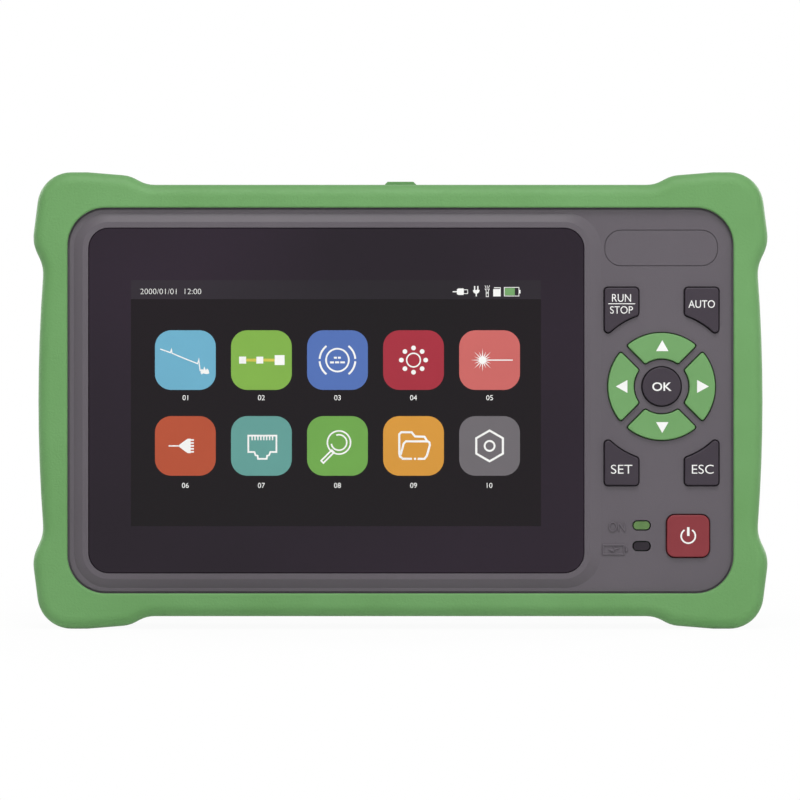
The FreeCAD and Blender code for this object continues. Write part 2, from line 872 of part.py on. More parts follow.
def lcd_outline(grow="0"):
    return box("-lcd_shift", "-lcd_drop", f"lcd_width + 2 * ({grow})", f"lcd_height + 2 * ({grow})")


def bracket_spots():
    return four_corners("lcd_width / 2 - bracket_ear_inset", "ear_up", "-lcd_shift", "-lcd_drop")


def board_spots():
    return four_corners("main_board_width / 2 - standoff_side", "main_board_height / 2 - standoff_end",
                        "-lcd_shift", "main_board_up")


def key_post_spots():
    left = "mat_across - mat_width / 2 + key_post_side"
    right = "mat_across + mat_width / 2 - key_post_side"
    top = "-mat_down + mat_height / 2 - key_post_top"
    low = "-mat_down - key_post_low"
    return [(left, top), (right, top), (left, low), (right, low)]


def led_outlines(grow):
    return [rounded("led_across", f"-led_{name}_down", f"led_width + 2 * {grow}",
                    f"led_height + 2 * {grow}", f"led_corner + {grow}") for name in ("on", "charge")]


# Front shell: screen frame, keypad panel, screw bosses and the front half of the connector cut-out

def make_front_shell():
    body = new_body("front_shell")
    add(body, "front_block", [case_outline()], "front_split", "front")
    round_edges(body, "front_edge_round", "case_edge", flat_at("front"))
    add_plateau(body)
    cut(body, "front_cavity", [case_outline("case_wall")], "front_split", "inner_front")
    cut(body, "tongue_rabbet", [case_outline("case_wall - tongue_wall - fit_gap")],
        "front_split", "front_split + tongue_rise + fit_gap")
    cut(body, "boot_lip_groove", [window_outline(), window_outline("-lip_groove")],
        "front", "front - lip_groove_deep")
    cut(body, "glass_seat", [glass_outline("glass_gap")], "plateau", "ledge")
    cut(body, "display_window", [lcd_outline("lcd_gap")], "ledge", "inner_front")
    plate = rounded("plate_across", "plate_up", "plate_width + 2 * plate_gap",
                    "plate_height + 2 * plate_gap", "plate_corner + plate_gap")
    cut(body, "plate_recess", [plate], "front", "front - plate_thick")
    cut(body, "led_slots", led_outlines("led_gap"), "front", "inner_front")
    add(body, "screw_bosses", discs(screw_spots(), "screw_tube"), "front_split", "inner_front")
    cut(body, "insert_holes", discs(screw_spots(), "insert_radius + running_gap"),
        "front_split", "front_split + insert_length")
    add(body, "bracket_posts", discs(bracket_spots(), "standoff_radius"), "lcd_back", "inner_front")
    cut(body, "bracket_screw_holes", discs(bracket_spots(), "small_screw_radius + running_gap"),
        "lcd_back", "lcd_back + small_screw_grip")
    add(body, "key_posts", discs(key_post_spots(), "key_post_radius"), "key_board_front", "inner_front")
    cut(body, "key_post_holes", discs(key_post_spots(), "small_screw_radius + running_gap"),
        "key_board_front", "key_board_front + small_screw_grip")
    cut(body, "front_port_cutout", [port_cutout("front_split - case_wall", "bezel_front + fit_gap")],
        "case_top", "case_top - case_wall - fit_gap", "XZ")
    shell = doc.addObject("Part::Cut", "front_shell_pierced")
    shell.Base = body
    shell.Tool = key_openings("front_key_openings", number("key_gap"), number("inner_front - flange_thick"),
                              number("plateau"))
    doc.recompute()
    return stand_up(shell, "front_shell")


def add_plateau(body):
    lower = rounded("-glass_shift + (plateau_fade - plateau_slope) / 2", "0",
                    "glass_width + 2 * plateau_rim + plateau_slope + plateau_fade",
                    "glass_height + 2 * plateau_rim + 2 * plateau_slope",
                    "glass_corner + plateau_rim + plateau_slope")
    foot = new_sketch(body, "plateau_foot", "XY", "front", [lower])
    crest = new_sketch(body, "plateau_crest", "XY", "plateau", [glass_outline("plateau_rim")])
    loft = body.newObject("PartDesign::AdditiveLoft", "plateau_loft")
    loft.Profile = foot
    loft.Sections = [crest]
    loft.Ruled = True
    doc.recompute()


# Rear shell: kickstand recess, battery bay, screw tubes, posts, socket windows

def recess_box(grow):
    top, bottom = f"(recess_top + {grow})", f"(recess_bottom - {grow})"
    side = f"(stand_width / 2 + stand_gap + {grow})"
    return polygon([(f"-{side}", bottom), (side, bottom), (side, top), (f"-{side}", top)])


def battery_outline(grow):
    return rounded("0", "-battery_down", f"battery_width + 2 * ({grow})", f"battery_height + 2 * ({grow})",
                   f"battery_corner + ({grow})")


def door_outline(grow):
    return rounded("0", "-battery_down", f"door_width + 2 * ({grow})", f"door_height + 2 * ({grow})",
                   f"door_corner + ({grow})")


def door_screw_spots():
    return [("door_screw_x", "-battery_down"), ("-door_screw_x", "-battery_down")]


def module_spots():
    return four_corners("module_width / 2 - module_corner * 2", "module_height / 2 - module_corner * 2",
                        "module_across", "0")


def port_board_spots():
    inset = "board_inset"
    right, low = f"port_board_right - {inset}", f"-port_board_bottom + {inset}"
    top = f"port_board_top - {inset}"
    return [(right, top), (right, low), (f"port_board_notch + {inset}", low),
            (f"port_board_left + {inset}", top)]


def sockets():
    return [("usb_a_port", "usb_a"), ("usb_c_port", "usb_c"), ("card_slot", "card")]


def socket_box(size, grow):
    return box(f"{size}_up", f"port_board_front + {size}_thick / 2", f"{size}_width + 2 * ({grow})",
               f"{size}_thick + 2 * ({grow})")


def make_rear_shell():
    body = new_body("rear_shell")
    add(body, "rear_block", [case_outline()], "back", "rear_split")
    round_edges(body, "rear_edge_round", "case_edge", flat_at("back"))
    cut(body, "rear_cavity", [case_outline("case_wall")], "rear_split", "inner_back")
    add(body, "recess_surround", [recess_box("recess_wall")], "inner_back", "recess_inner")
    add(body, "scoop_surround", [disc("0", "recess_bottom", "scoop_radius + recess_wall")],
        "inner_back", "inner_back + scoop_depth")
    cut(body, "stand_recess", [recess_box("0")], "back", "recess_level")
    lower = [(f"{sx} * (stand_width / 2 + stand_gap)", "recess_bottom") for sx in (1, -1)]
    round_edges(body, "recess_bend", "stand_corner + stand_gap", upright_at(lower))
    cut(body, "finger_scoop", [disc("0", "recess_bottom", "scoop_radius")], "back", "back + scoop_depth")
    cut(body, "battery_opening", [battery_outline("battery_gap")], "recess_level", "recess_inner")
    cut(body, "door_seat", [door_outline("door_gap")], "recess_level", "door_inner")
    add(body, "bay_walls", [battery_outline("battery_gap + bay_wall"), battery_outline("battery_gap")],
        "recess_inner", "recess_inner + bay_rise")
    cut(body, "door_screw_holes", discs(door_screw_spots(), "small_screw_radius + running_gap"),
        "door_inner", "recess_inner")
    add(body, "screw_tubes", discs(screw_spots(), "screw_tube"), "inner_back", "rear_split")
    cut(body, "screw_sinks", discs(screw_spots(), "screw_sink_radius"), "back", "screw_seat")
    cut(body, "screw_holes", discs(screw_spots(), "screw_radius + screw_gap"), "screw_seat", "rear_split")
    add(body, "module_feet", discs(module_spots(), "module_corner"), "inner_back", "module_back")
    add(body, "port_board_posts", discs(port_board_spots(), "standoff_radius"),
        "inner_back", "port_board_back")
    cut(body, "port_board_holes", discs(port_board_spots(), "small_screw_radius + running_gap"),
        "port_board_back", "port_board_back - small_screw_grip")
    add(body, "tongue", [case_outline("case_wall - tongue_wall"), case_outline("case_wall")],
        "rear_split", "front_split + tongue_rise")
    cut(body, "rear_port_cutout", [port_cutout("-bezel_back - fit_gap", "front_split + case_wall")],
        "case_top", "case_top - case_wall - fit_gap", "XZ")
    cut(body, "rear_torch_hole", [disc("torch_across", "torch_level", "torch_radius + torch_gap")],
        "case_top", "case_top - case_wall", "XZ")
    for label, size in sockets():
        cut(body, label + "_window", [socket_box(size, "socket_gap")],
            "case_right", "case_right - case_wall", "YZ")
    pin_end = "(stand_width / 2 + stand_gap + stand_pin_grip)"
    cut(body, "stand_pin_bores", [disc("stand_hinge_up", "stand_axis", "stand_pin_radius + running_gap")],
        pin_end, f"-{pin_end}", "YZ")
    return stand_up(body, "rear_shell")


def make_case_gasket():
    body = new_body("case_gasket")
    add(body, "gasket_ring", [case_outline("fit_gap"), case_outline("case_wall - tongue_wall - fit_gap")],
        "rear_split", "front_split")
    cut(body, "gasket_port_cutout", [port_cutout("rear_split - case_wall", "front_split + case_wall")],
        "case_top", "case_top - case_wall", "XZ")
    return stand_up(body, "case_gasket")


def make_case_fasteners():
    screws("case_screws", screw_spots(), "screw_seat", "screw_head_radius", "screw_head_thick",
           "screw_radius", "front_split + insert_length")
    inserts = []
    for index, (across, up) in enumerate(screw_spots(), 1):
        outer = cylinder(f"insert_outer_{index}", across, up, "insert_radius",
                         "front_split", "front_split + insert_length")
        bore = cylinder(f"insert_bore_{index}", across, up, "screw_radius + running_gap",
                        "front_split", "front_split + insert_length")
        sleeve = doc.addObject("Part::Cut", f"insert_{index}")
        sleeve.Base = outer
        sleeve.Tool = bore
        inserts.append(sleeve)
    group = doc.addObject("Part::Compound", "insert_group")
    group.Links = inserts
    doc.recompute()
    stand_up(group, "threaded_inserts")


# Screen: glass, adhesive frame, display, bracket with standoffs for the main board

def make_display():
    glass = new_body("touch_glass")
    add(glass, "glass_sheet", [glass_outline()], "glass_back", "glass_front")
    round_edges(glass, "glass_edge", "glass_chamfer", flat_at("glass_front"), "PartDesign::Chamfer")
    stand_up(glass, "touch_glass")
    slab("glass_tape", [glass_outline("-glass_gap"), lcd_outline("lcd_gap + glass_gap")],
         "ledge", "glass_back")
    slab("lcd_panel", [lcd_outline()], "lcd_back", "glass_back")
    bracket = new_body("display_bracket")
    add(bracket, "bracket_sheet", [lcd_outline("bracket_margin")], "bracket_back", "lcd_back")
    ear_x = "(lcd_width / 2 - bracket_ear_inset)"
    ears = [box(f"-lcd_shift + {sx} * {ear_x}", "-lcd_drop", "2 * bracket_ear",
                "2 * ear_up + 2 * standoff_radius") for sx in (1, -1)]
    add(bracket, "bracket_ears", ears, "bracket_back", "lcd_back")
    add(bracket, "board_standoffs", discs(board_spots(), "standoff_radius"), "board_front", "bracket_back")
    cut(bracket, "standoff_holes", discs(board_spots(), "small_screw_radius + running_gap"),
        "board_front", "board_front + small_screw_grip")
    cut(bracket, "ear_holes", discs(bracket_spots(), "small_screw_radius + running_gap"),
        "bracket_back", "lcd_back")
    cut(bracket, "bracket_window", [box("-lcd_shift", "-lcd_drop", "lcd_width / 2", "lcd_height / 2")],
        "bracket_back", "lcd_back")
    stand_up(bracket, "display_bracket")
    screws("display_screws", bracket_spots(), "bracket_back", "small_head_radius", "small_head_thick",
           "small_screw_radius", "lcd_back + small_screw_grip")


# Keypad: mat, board, lamps' lenses, bare plate

def mat_outline():
    return rounded("mat_across", "-mat_down", "mat_width", "mat_height", "mat_corner")


def make_keypad():
    mat = new_body("keypad_mat")
    add(mat, "mat_sheet", [mat_outline()], "key_board_front", "inner_front")
    cut(mat, "mat_post_holes", discs(key_post_spots(), "key_post_radius + fit_gap"),
        "key_board_front", "inner_front")
    cut(mat, "mat_led_holes", led_outlines("mat_gap"), "key_board_front", "inner_front")
    cut(mat, "mat_ring_hole", [disc("pad_across", "pad_up", "ring_outer + flange_reach + mat_gap")],
        "key_board_front", "inner_front")
    pierced = doc.addObject("Part::Cut", "keypad_mat_pierced")
    pierced.Base = mat
    grow = number("flange_reach + mat_gap")
    outer_keys = ["key_run_stop", "key_auto", "key_set", "key_esc", "key_power"]
    pierced.Tool = key_openings("mat_key_openings", grow, number("key_board_front"), number("inner_front"),
                                outer_keys)
    doc.recompute()
    stand_up(pierced, "keypad_mat")
    board = new_body("key_board")
    add(board, "key_board_sheet", [mat_outline()], "key_board_back", "key_board_front")
    cut(board, "key_board_holes", discs(key_post_spots(), "small_screw_radius + running_gap"),
        "key_board_back", "key_board_front")
    add(board, "lamp_chips", led_outlines("(-chip_inset)"), "key_board_front", "key_board_front + chip_thick")
    stand_up(board, "key_board")
    screws("keypad_screws", key_post_spots(), "key_board_back", "small_head_radius", "small_head_thick",
           "small_screw_radius", "key_board_front + small_screw_grip")
    on_lens, charge_lens = led_outlines("0")
    slab("led_on_lens", [on_lens], "key_board_front + chip_thick", "front + led_proud")
    slab("led_charge_lens", [charge_lens], "key_board_front + chip_thick", "front + led_proud")
    slab("name_plate", [rounded("plate_across", "plate_up", "plate_width", "plate_height", "plate_corner")],
         "front - plate_thick", "front")


# Kickstand on a steel pin, battery and its cover

def make_kickstand():
    body = new_body("kickstand")
    side = "(stand_width / 2)"
    low = "stand_hinge_up - stand_length"
    plate = polygon([(f"-{side}", low), (side, low), (side, "stand_hinge_up"),
                     (f"-{side}", "stand_hinge_up")])
    add(body, "stand_plate", [plate], "stand_back", "stand_back + stand_thick")
    round_edges(body, "stand_bend", "stand_corner", upright_at([(side, low), (f"-{side}", low)]))
    add(body, "stand_barrel_rod", [disc("stand_hinge_up", "stand_axis", "stand_barrel")],
        f"-{side}", side, "YZ")
    cut(body, "stand_bore", [disc("stand_hinge_up", "stand_axis", "stand_pin_radius + running_gap")],
        side, f"-{side}", "YZ")
    panel = rounded("0", "stand_hinge_up - stand_length / 2", "stand_width - 2 * stand_panel_margin",
                    "stand_length - 2 * stand_panel_margin", "stand_corner")
    cut(body, "stand_panel", [panel], "stand_back", "stand_back + stand_panel_sink")
    stand_up(body, "kickstand")
    pin_end = "(stand_width / 2 + stand_gap + stand_pin_grip)"
    slab("kickstand_pin", [disc("stand_hinge_up", "stand_axis", "stand_pin_radius")],
         f"-{pin_end}", pin_end, "YZ")


def make_battery():
    cover = new_body("battery_cover")
    add(cover, "door_sheet", [door_outline("0")], "recess_level", "door_inner")
    cut(cover, "door_head_sinks", discs(door_screw_spots(), "small_head_radius + fit_gap"),
        "recess_level", "recess_level + door_head_sink")
    cut(cover, "door_holes", discs(door_screw_spots(), "small_screw_radius + running_gap"),
        "recess_level + door_head_sink", "door_inner")
    stand_up(cover, "battery_cover")
    screws("battery_cover_screws", door_screw_spots(), "recess_level + door_head_sink", "small_head_radius",
           "small_head_thick", "small_screw_radius", "recess_inner")
    pack = new_body("battery_pack")
    add(pack, "battery_block", [battery_outline("0")], "door_inner", "door_inner + battery_thick")
    stand_up(pack, "battery_pack")


# Connector bay in the top edge: bezel, floor plates, hinged cover, optical adapters, copper jacks

def make_port_bezel():
    body = new_body("port_bezel")
    outer = polygon([("-bezel_half", "-bezel_back"), ("bezel_half", "-bezel_back"),
                     ("bezel_half", "bezel_front"), ("-bezel_half", "bezel_front")])
    add(body, "bezel_block", [outer], "bezel_top", "well_floor_level", "XZ")
    well = rounded("0", "(well_front - well_back) / 2", "well_width", "well_front + well_back", "well_corner")
    cut(body, "well", [well], "bezel_top", "well_floor_level", "XZ")
    for sign in ("", "-"):
        inner, outer = f"{sign}(well_half + cover_ear_gap)", f"{sign}bezel_half"
        low, high = "bezel_top - bezel_floor", "cover_axis_up"
        front, back = "-cover_axis_back + cover_ear_radius", "-cover_axis_back - cover_ear_radius"
        name = "left" if sign else "right"
        post = polygon([(low, back), (high, back), (high, front), (low, front)])
        add(body, f"{name}_ear_post", [post], inner, outer, "YZ")
        add(body, f"{name}_ear", [disc("cover_axis_up", "-cover_axis_back", "cover_ear_radius")],
            inner, outer, "YZ")
    pin_bore = disc("cover_axis_up", "-cover_axis_back", "cover_pin_radius + running_gap")
    cut(body, "cover_pin_bores", [pin_bore], "bezel_half", "-bezel_half", "YZ")
    stand_up(body, "port_bezel")


def make_connector_plates():
    holes = [disc(f"-{name}_across", "-adapter_level", "adapter_hole + adapter_gap")
             for name in ("vfl", "otdr", "opm")]
    windows = [box(f"jack_{index}_across", "jack_level", "jack_width + 2 * jack_gap",
                   "jack_thick + 2 * jack_gap") for index in (1, 2)]
    for label, left, right, openings in (("fibre_plate", "-bezel_half", "plate_seam", holes),
                                         ("jack_plate", "plate_seam", "bezel_half", windows)):
        body = new_body(label)
        outline = polygon([(left, "-bezel_back"), (right, "-bezel_back"),
                           (right, "bezel_front"), (left, "bezel_front")])
        add(body, label + "_sheet", [outline], "well_floor_level", "bezel_bottom", "XZ")
        cut(body, label + "_openings", openings, "well_floor_level", "bezel_bottom", "XZ")
        stand_up(body, label)


def make_port_cover():
    body = new_body("port_cover")
    plate = polygon([("-bezel_half", "-cover_axis_back"), ("bezel_half", "-cover_axis_back"),
                     ("bezel_half", "cover_front"), ("-bezel_half", "cover_front")])
    add(body, "cover_plate", [plate], "boot_top", "cover_under", "XZ")
    front_edges = edges_along("boot_top", "cover_front")
    round_edges(body, "cover_front_round", "cover_round", front_edges)
    ear_room = "-cover_axis_back + cover_ear_radius + cover_gap"
    for sign in ("", "-"):
        inner, outer = f"{sign}(well_half - cover_ear_gap)", f"{sign}bezel_half"
        notch = polygon([(inner, "-cover_axis_back"), (outer, "-cover_axis_back"),
                         (outer, ear_room), (inner, ear_room)])
        name = "left" if sign else "right"
        cut(body, f"{name}_ear_notch", [notch], "boot_top", "cover_under", "XZ")
    rod_end = "(well_half - cover_ear_gap)"
    add(body, "cover_barrel_rod", [disc("cover_axis_up", "-cover_axis_back", "cover_barrel")],
        f"-{rod_end}", rod_end, "YZ")
    cut(body, "cover_bore", [disc("cover_axis_up", "-cover_axis_back", "cover_pin_radius + running_gap")],
        rod_end, f"-{rod_end}", "YZ")
    foot, crest = "cover_lip_width / 2", "cover_lip_crest / 2"
    lip = polygon([(f"-{foot}", "boot_top - cover_round"), (foot, "boot_top - cover_round"),
                   (crest, "boot_top + cover_lip_rise"), (f"-{crest}", "boot_top + cover_lip_rise")])
    add(body, "thumb_lip", [lip], "cover_front - cover_lip_deep", "cover_front")
    stand_up(body, "port_cover")
    slab("cover_pin", [disc("cover_axis_up", "-cover_axis_back", "cover_pin_radius")],
         "-bezel_half", "bezel_half", "YZ")


def make_optical_adapter(label, name):
    body = new_body(label)
    across, level = f"-{name}_across", "-adapter_level"
    flange = rounded(across, level, "adapter_flange", "adapter_flange", "adapter_flange_thick")
    add(body, label + "_flange", [flange], "well_floor_level",
        "well_floor_level + adapter_flange_thick", "XZ")
    add(body, label + "_tube", [disc(across, level, f"{name}_tube")],
        "well_floor_level", "adapter_top", "XZ")
    add(body, label + "_tail", [disc(across, level, "adapter_hole")], "well_floor_level", "adapter_end", "XZ")
    ring = [disc(across, level, f"{name}_tube - adapter_wall"),
            disc(across, level, "ferrule_radius + sleeve_wall")]
    cut(body, label + "_ring_gap", ring, "adapter_top", "well_floor_level", "XZ")
    cut(body, label + "_ferrule_bore", [disc(across, level, "ferrule_radius")],
        "adapter_top", "adapter_top - ferrule_depth", "XZ")
    stand_up(body, label)


def make_optics():
    for label, name in (("otdr_adapter", "otdr"), ("vfl_adapter", "vfl"), ("opm_adapter", "opm")):
        make_optical_adapter(label, name)
    slab("vfl_laser", [disc("-vfl_across", "-adapter_level", "laser_radius")],
         "adapter_end", "adapter_end - laser_length", "XZ")
    slab("opm_detector", [disc("-opm_across", "-adapter_level", "detector_radius")],
         "adapter_end", "adapter_end - detector_length", "XZ")
    module = rounded("module_across", "0", "module_width", "module_height", "module_corner")
    slab("otdr_module", [module], "module_back", "module_back + module_thick")
    coil = doc.addObject("Part::Torus", "coil_ring")
    coil.setExpression("Radius1", with_sheet_names("coil_radius"))
    coil.setExpression("Radius2", with_sheet_names("coil_thick"))
    coil.setExpression("Placement.Base.x", with_sheet_names("module_across"))
    coil.setExpression("Placement.Base.z", with_sheet_names("module_back + module_thick + coil_thick"))
    coil_group = doc.addObject("Part::Compound", "coil_group")
    coil_group.Links = [coil]
    doc.recompute()
    stand_up(coil_group, "fibre_coil")


def make_copper_jack(index):
    label, across = f"rj45_jack_{index}", f"jack_{index}_across"
    body = new_body(label)
    add(body, label + "_block", [box(across, "jack_level", "jack_width", "jack_thick")],
        "jack_top", "jack_bottom", "XZ")
    mouth_level = "jack_level - jack_latch_thick / 2"
    floor = "jack_top - jack_mouth_depth"
    cut(body, label + "_mouth", [box(across, mouth_level, "jack_mouth_width", "jack_mouth_thick")],
        "jack_top", floor, "XZ")
    latch_level = f"{mouth_level} + jack_mouth_thick / 2"
    cut(body, label + "_latch_slot", [box(across, latch_level, "jack_latch_width", "2 * jack_latch_thick")],
        "jack_top", floor, "XZ")
    stand_up(body, label)


def make_port_board():
    outline = polygon([("port_board_left", "port_board_shelf"), ("port_board_notch", "port_board_shelf"),
                       ("port_board_notch", "-port_board_bottom"), ("port_board_right", "-port_board_bottom"),
                       ("port_board_right", "port_board_top"), ("port_board_left", "port_board_top")])
    body = new_body("port_board")
    add(body, "port_board_sheet", [outline], "port_board_back", "port_board_front")
    cut(body, "port_board_screw_holes", discs(port_board_spots(), "small_screw_radius + running_gap"),
        "port_board_back", "port_board_front")
    stand_up(body, "port_board")


def make_sockets():
    for label, size in sockets():
        body = new_body(label)
        back = f"socket_mouth - {size}_length"
        add(body, label + "_shell", [socket_box(size, "0")], "socket_mouth", back, "YZ")
        cut(body, label + "_mouth", [socket_box(size, "-socket_wall")], "socket_mouth",
            f"{back} + 2 * socket_wall", "YZ")
        if size != "card":
            tongue = box(f"{size}_up", f"port_board_front + {size}_thick / 2",
                         f"{size}_width - 2 * socket_tongue_side", f"{size}_thick / 4")
            add(body, label + "_tongue", [tongue], "socket_mouth - socket_inset", back, "YZ")
        stand_up(body, label)


def make_side_flap():
    block = new_body("side_flap")
    for name, outline in (("flap_block", flap_outline()), ("flap_hinge_block", flap_hinge_end())):
        add(block, name, [outline], "case_right + flap_lift", "boot_right + bumper_bulge", "YZ")
    drum = doc.addObject("Part::Cylinder", "flap_drum")
    drum.setExpression("Radius", with_sheet_names("side_radius - flap_flush"))
    drum.setExpression("Height", with_sheet_names("case_depth"))
    drum.setExpression("Placement.Base.x", with_sheet_names("boot_right - side_radius"))
    drum.setExpression("Placement.Base.z", with_sheet_names("back"))
    flap = doc.addObject("Part::Common", "side_flap_curved")
    flap.Base = block
    flap.Tool = drum
    doc.recompute()
    stand_up(flap, "side_flap")


def make_torch():
    slab("torch_lens", [disc("torch_across", "torch_level", "torch_radius")],
         "torch_mouth", "torch_mouth - torch_length", "XZ")
    slab("torch_led", [disc("torch_across", "torch_level", "torch_radius - torch_gap")],
         "torch_mouth - torch_length", "torch_mouth - torch_length - torch_led_length", "XZ")


# Boards and modules inside

def make_main_board():
    board = new_body("main_board")
    outline = rounded("-lcd_shift", "main_board_up", "main_board_width", "main_board_height", "mat_corner")
    add(board, "main_board_sheet", [outline], "board_back", "board_front")
    cut(board, "main_board_holes", discs(board_spots(), "small_screw_radius + running_gap"),
        "board_back", "board_front")
    stand_up(board, "main_board")
    screws("main_board_screws", board_spots(), "board_back", "small_head_radius", "small_head_thick",
           "small_screw_radius", "board_front + small_screw_grip")
    cans = []
    for sign in ("", "-"):
        can = doc.addObject("Part::Box", "can_" + ("left" if sign else "right"))
        can.setExpression("Length", with_sheet_names("can_width"))
        can.setExpression("Width", with_sheet_names("can_height"))
        can.setExpression("Height", with_sheet_names("can_thick"))
        can.setExpression("Placement.Base.x",
                          with_sheet_names(f"-lcd_shift + {sign}can_spacing / 2 - can_width / 2"))
        can.setExpression("Placement.Base.y", with_sheet_names("main_board_up - can_height / 2"))
        can.setExpression("Placement.Base.z", with_sheet_names("board_back - can_thick"))
        cans.append(can)
    group = doc.addObject("Part::Compound", "can_group")
    group.Links = cans
    doc.recompute()
    stand_up(group, "shield_cans")
    buzzer_up = "main_board_up + main_board_height / 2 - 2 * buzzer_radius"
    buzzer = disc("-lcd_shift", buzzer_up, "buzzer_radius")
    slab("buzzer", [buzzer], "board_back", "board_back - buzzer_thick")
    cell_up = "main_board_up - main_board_height / 2 + 2 * cell_radius"
    cell = disc("-lcd_shift", cell_up, "cell_radius")
    slab("coin_cell", [cell], "board_back", "board_back - cell_thick")


make_boot()
make_front_shell()
make_rear_shell()
make_case_gasket()
make_case_fasteners()
make_display()
make_keys()
make_keypad()
make_kickstand()
make_battery()
make_port_bezel()
make_connector_plates()
make_port_cover()
make_optics()
make_copper_jack(1)
make_copper_jack(2)
make_port_board()
make_sockets()
make_side_flap()
make_torch()
make_main_board()


def check_and_write():
    for piece in doc.Objects:
        if "Invalid" in piece.State or "Error" in piece.State:
            raise RuntimeError(f"{piece.Name} failed: {piece.State}")
    for piece in finished:
        if piece.Shape.isNull() or not piece.Shape.isValid():
            raise RuntimeError(f"{piece.Label} has no valid shape")
    for piece in finished:
        piece.Shape.exportStep(f"parts/{piece.Label}.step")
        print(piece.Label, len(piece.Shape.Solids), round(piece.Shape.Volume, 1))


doc.recompute()
check_and_write()
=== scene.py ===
import bmesh
import bpy
import math
from mathutils import Matrix, Vector


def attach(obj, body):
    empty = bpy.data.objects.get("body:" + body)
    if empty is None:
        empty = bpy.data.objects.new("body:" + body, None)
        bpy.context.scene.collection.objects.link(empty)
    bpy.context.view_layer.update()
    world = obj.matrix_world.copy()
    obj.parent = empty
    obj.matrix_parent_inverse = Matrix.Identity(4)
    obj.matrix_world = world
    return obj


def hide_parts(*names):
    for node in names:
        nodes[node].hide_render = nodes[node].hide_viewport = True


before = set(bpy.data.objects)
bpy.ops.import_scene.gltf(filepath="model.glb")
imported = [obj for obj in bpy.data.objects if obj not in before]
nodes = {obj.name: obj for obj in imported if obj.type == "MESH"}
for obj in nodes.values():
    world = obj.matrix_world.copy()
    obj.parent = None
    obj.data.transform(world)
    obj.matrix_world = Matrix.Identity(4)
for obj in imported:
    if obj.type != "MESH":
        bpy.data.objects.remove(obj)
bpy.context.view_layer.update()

mm = 0.001
caseBody = "case"

# Camera: straight in front of the screen, through a long lens; metres, and the sensor in mm
cameraView = {"distance": 1.5, "fieldWidth": 0.2107, "faceDepth": 0.0225, "across": -0.00013,
              "height": 0.06033, "sensor": 36.0, "clip": (0.1, 20)}


def makeCamera(view):
    data = bpy.data.cameras.new("frontCamera")
    data.sensor_width = view["sensor"]
    data.lens = view["sensor"] * view["distance"] / view["fieldWidth"]
    data.clip_start, data.clip_end = view["clip"]
    camera = bpy.data.objects.new("frontCamera", data)
    camera.location = (view["across"], -view["faceDepth"] - view["distance"], view["height"])
    camera.rotation_euler = (math.radians(90), 0, 0)
    bpy.context.scene.collection.objects.link(camera)
    bpy.context.scene.camera = camera


makeCamera(cameraView)
print("camera placed")


# Small helpers

def hexColour(text):
    parts = [int(text[i:i + 2], 16) / 255 for i in (0, 2, 4)]
    return tuple(p / 12.92 if p <= 0.04045 else ((p + 0.055) / 1.055) ** 2.4 for p in parts) + (1.0,)


def addNode(tree, kind, settings=None, inputs=None):
    node = tree.nodes.new(kind)
    for name, value in (settings or {}).items():
        setattr(node, name, value)
    for name, value in (inputs or {}).items():
        socket = node.inputs[name]
        if isinstance(value, bpy.types.NodeSocket):
            tree.links.new(value, socket)
        else:
            socket.default_value = value
    return node


def startMaterial(name, surface):
    material = bpy.data.materials.new(name)
    material.use_nodes = True
    tree = material.node_tree
    tree.nodes.clear()
    shader = addNode(tree, "ShaderNodeBsdfPrincipled", inputs=surface)
    addNode(tree, "ShaderNodeOutputMaterial", inputs={"Surface": shader.outputs["BSDF"]})
    place = addNode(tree, "ShaderNodeTexCoord").outputs["Object"]
    return material, tree, shader, place


def perMetre(sizeMm):
    return 1 / (sizeMm * mm)


def shownRays(tree):
    # 1 for a ray that shows what it meets, straight, in a mirror or through a lens; 0 for one that lights it
    path = addNode(tree, "ShaderNodeLightPath")
    shown = path.outputs["Is Camera Ray"]
    for kind in ("Is Glossy Ray", "Is Transmission Ray"):
        either = addNode(tree, "ShaderNodeMath", {"operation": "MAXIMUM"}, {0: shown, 1: path.outputs[kind]})
        shown = either.outputs[0]
    return shown


# Moulded and cast surfaces: a fine grain in the bump and the gloss, and a slow drift in the colour;
# driftMm and grainMm are the real sizes of the two, and rise is the grain's height as a share of its size
mouldedUsual = {"ior": 1.5, "specular": 0.5, "coat": 0.0, "coatRoughness": 0.1, "sheen": 0.0,
                "sheenRoughness": 0.4, "driftDetail": 3.0, "driftEnds": (0.3, 0.7), "grainDetail": 2.0,
                "grainRoughness": 0.6, "rise": 0.3}


def roughenedBy(tree, shader, height, roughness, bump, deep):
    # one pattern drives both the gloss and the relief
    gloss = addNode(tree, "ShaderNodeMapRange", inputs={
        "Value": height, "To Min": roughness[0], "To Max": roughness[1]})
    tree.links.new(gloss.outputs["Result"], shader.inputs["Roughness"])
    relief = addNode(tree, "ShaderNodeBump", inputs={"Height": height, "Strength": bump, "Distance": deep})
    tree.links.new(relief.outputs["Normal"], shader.inputs["Normal"])


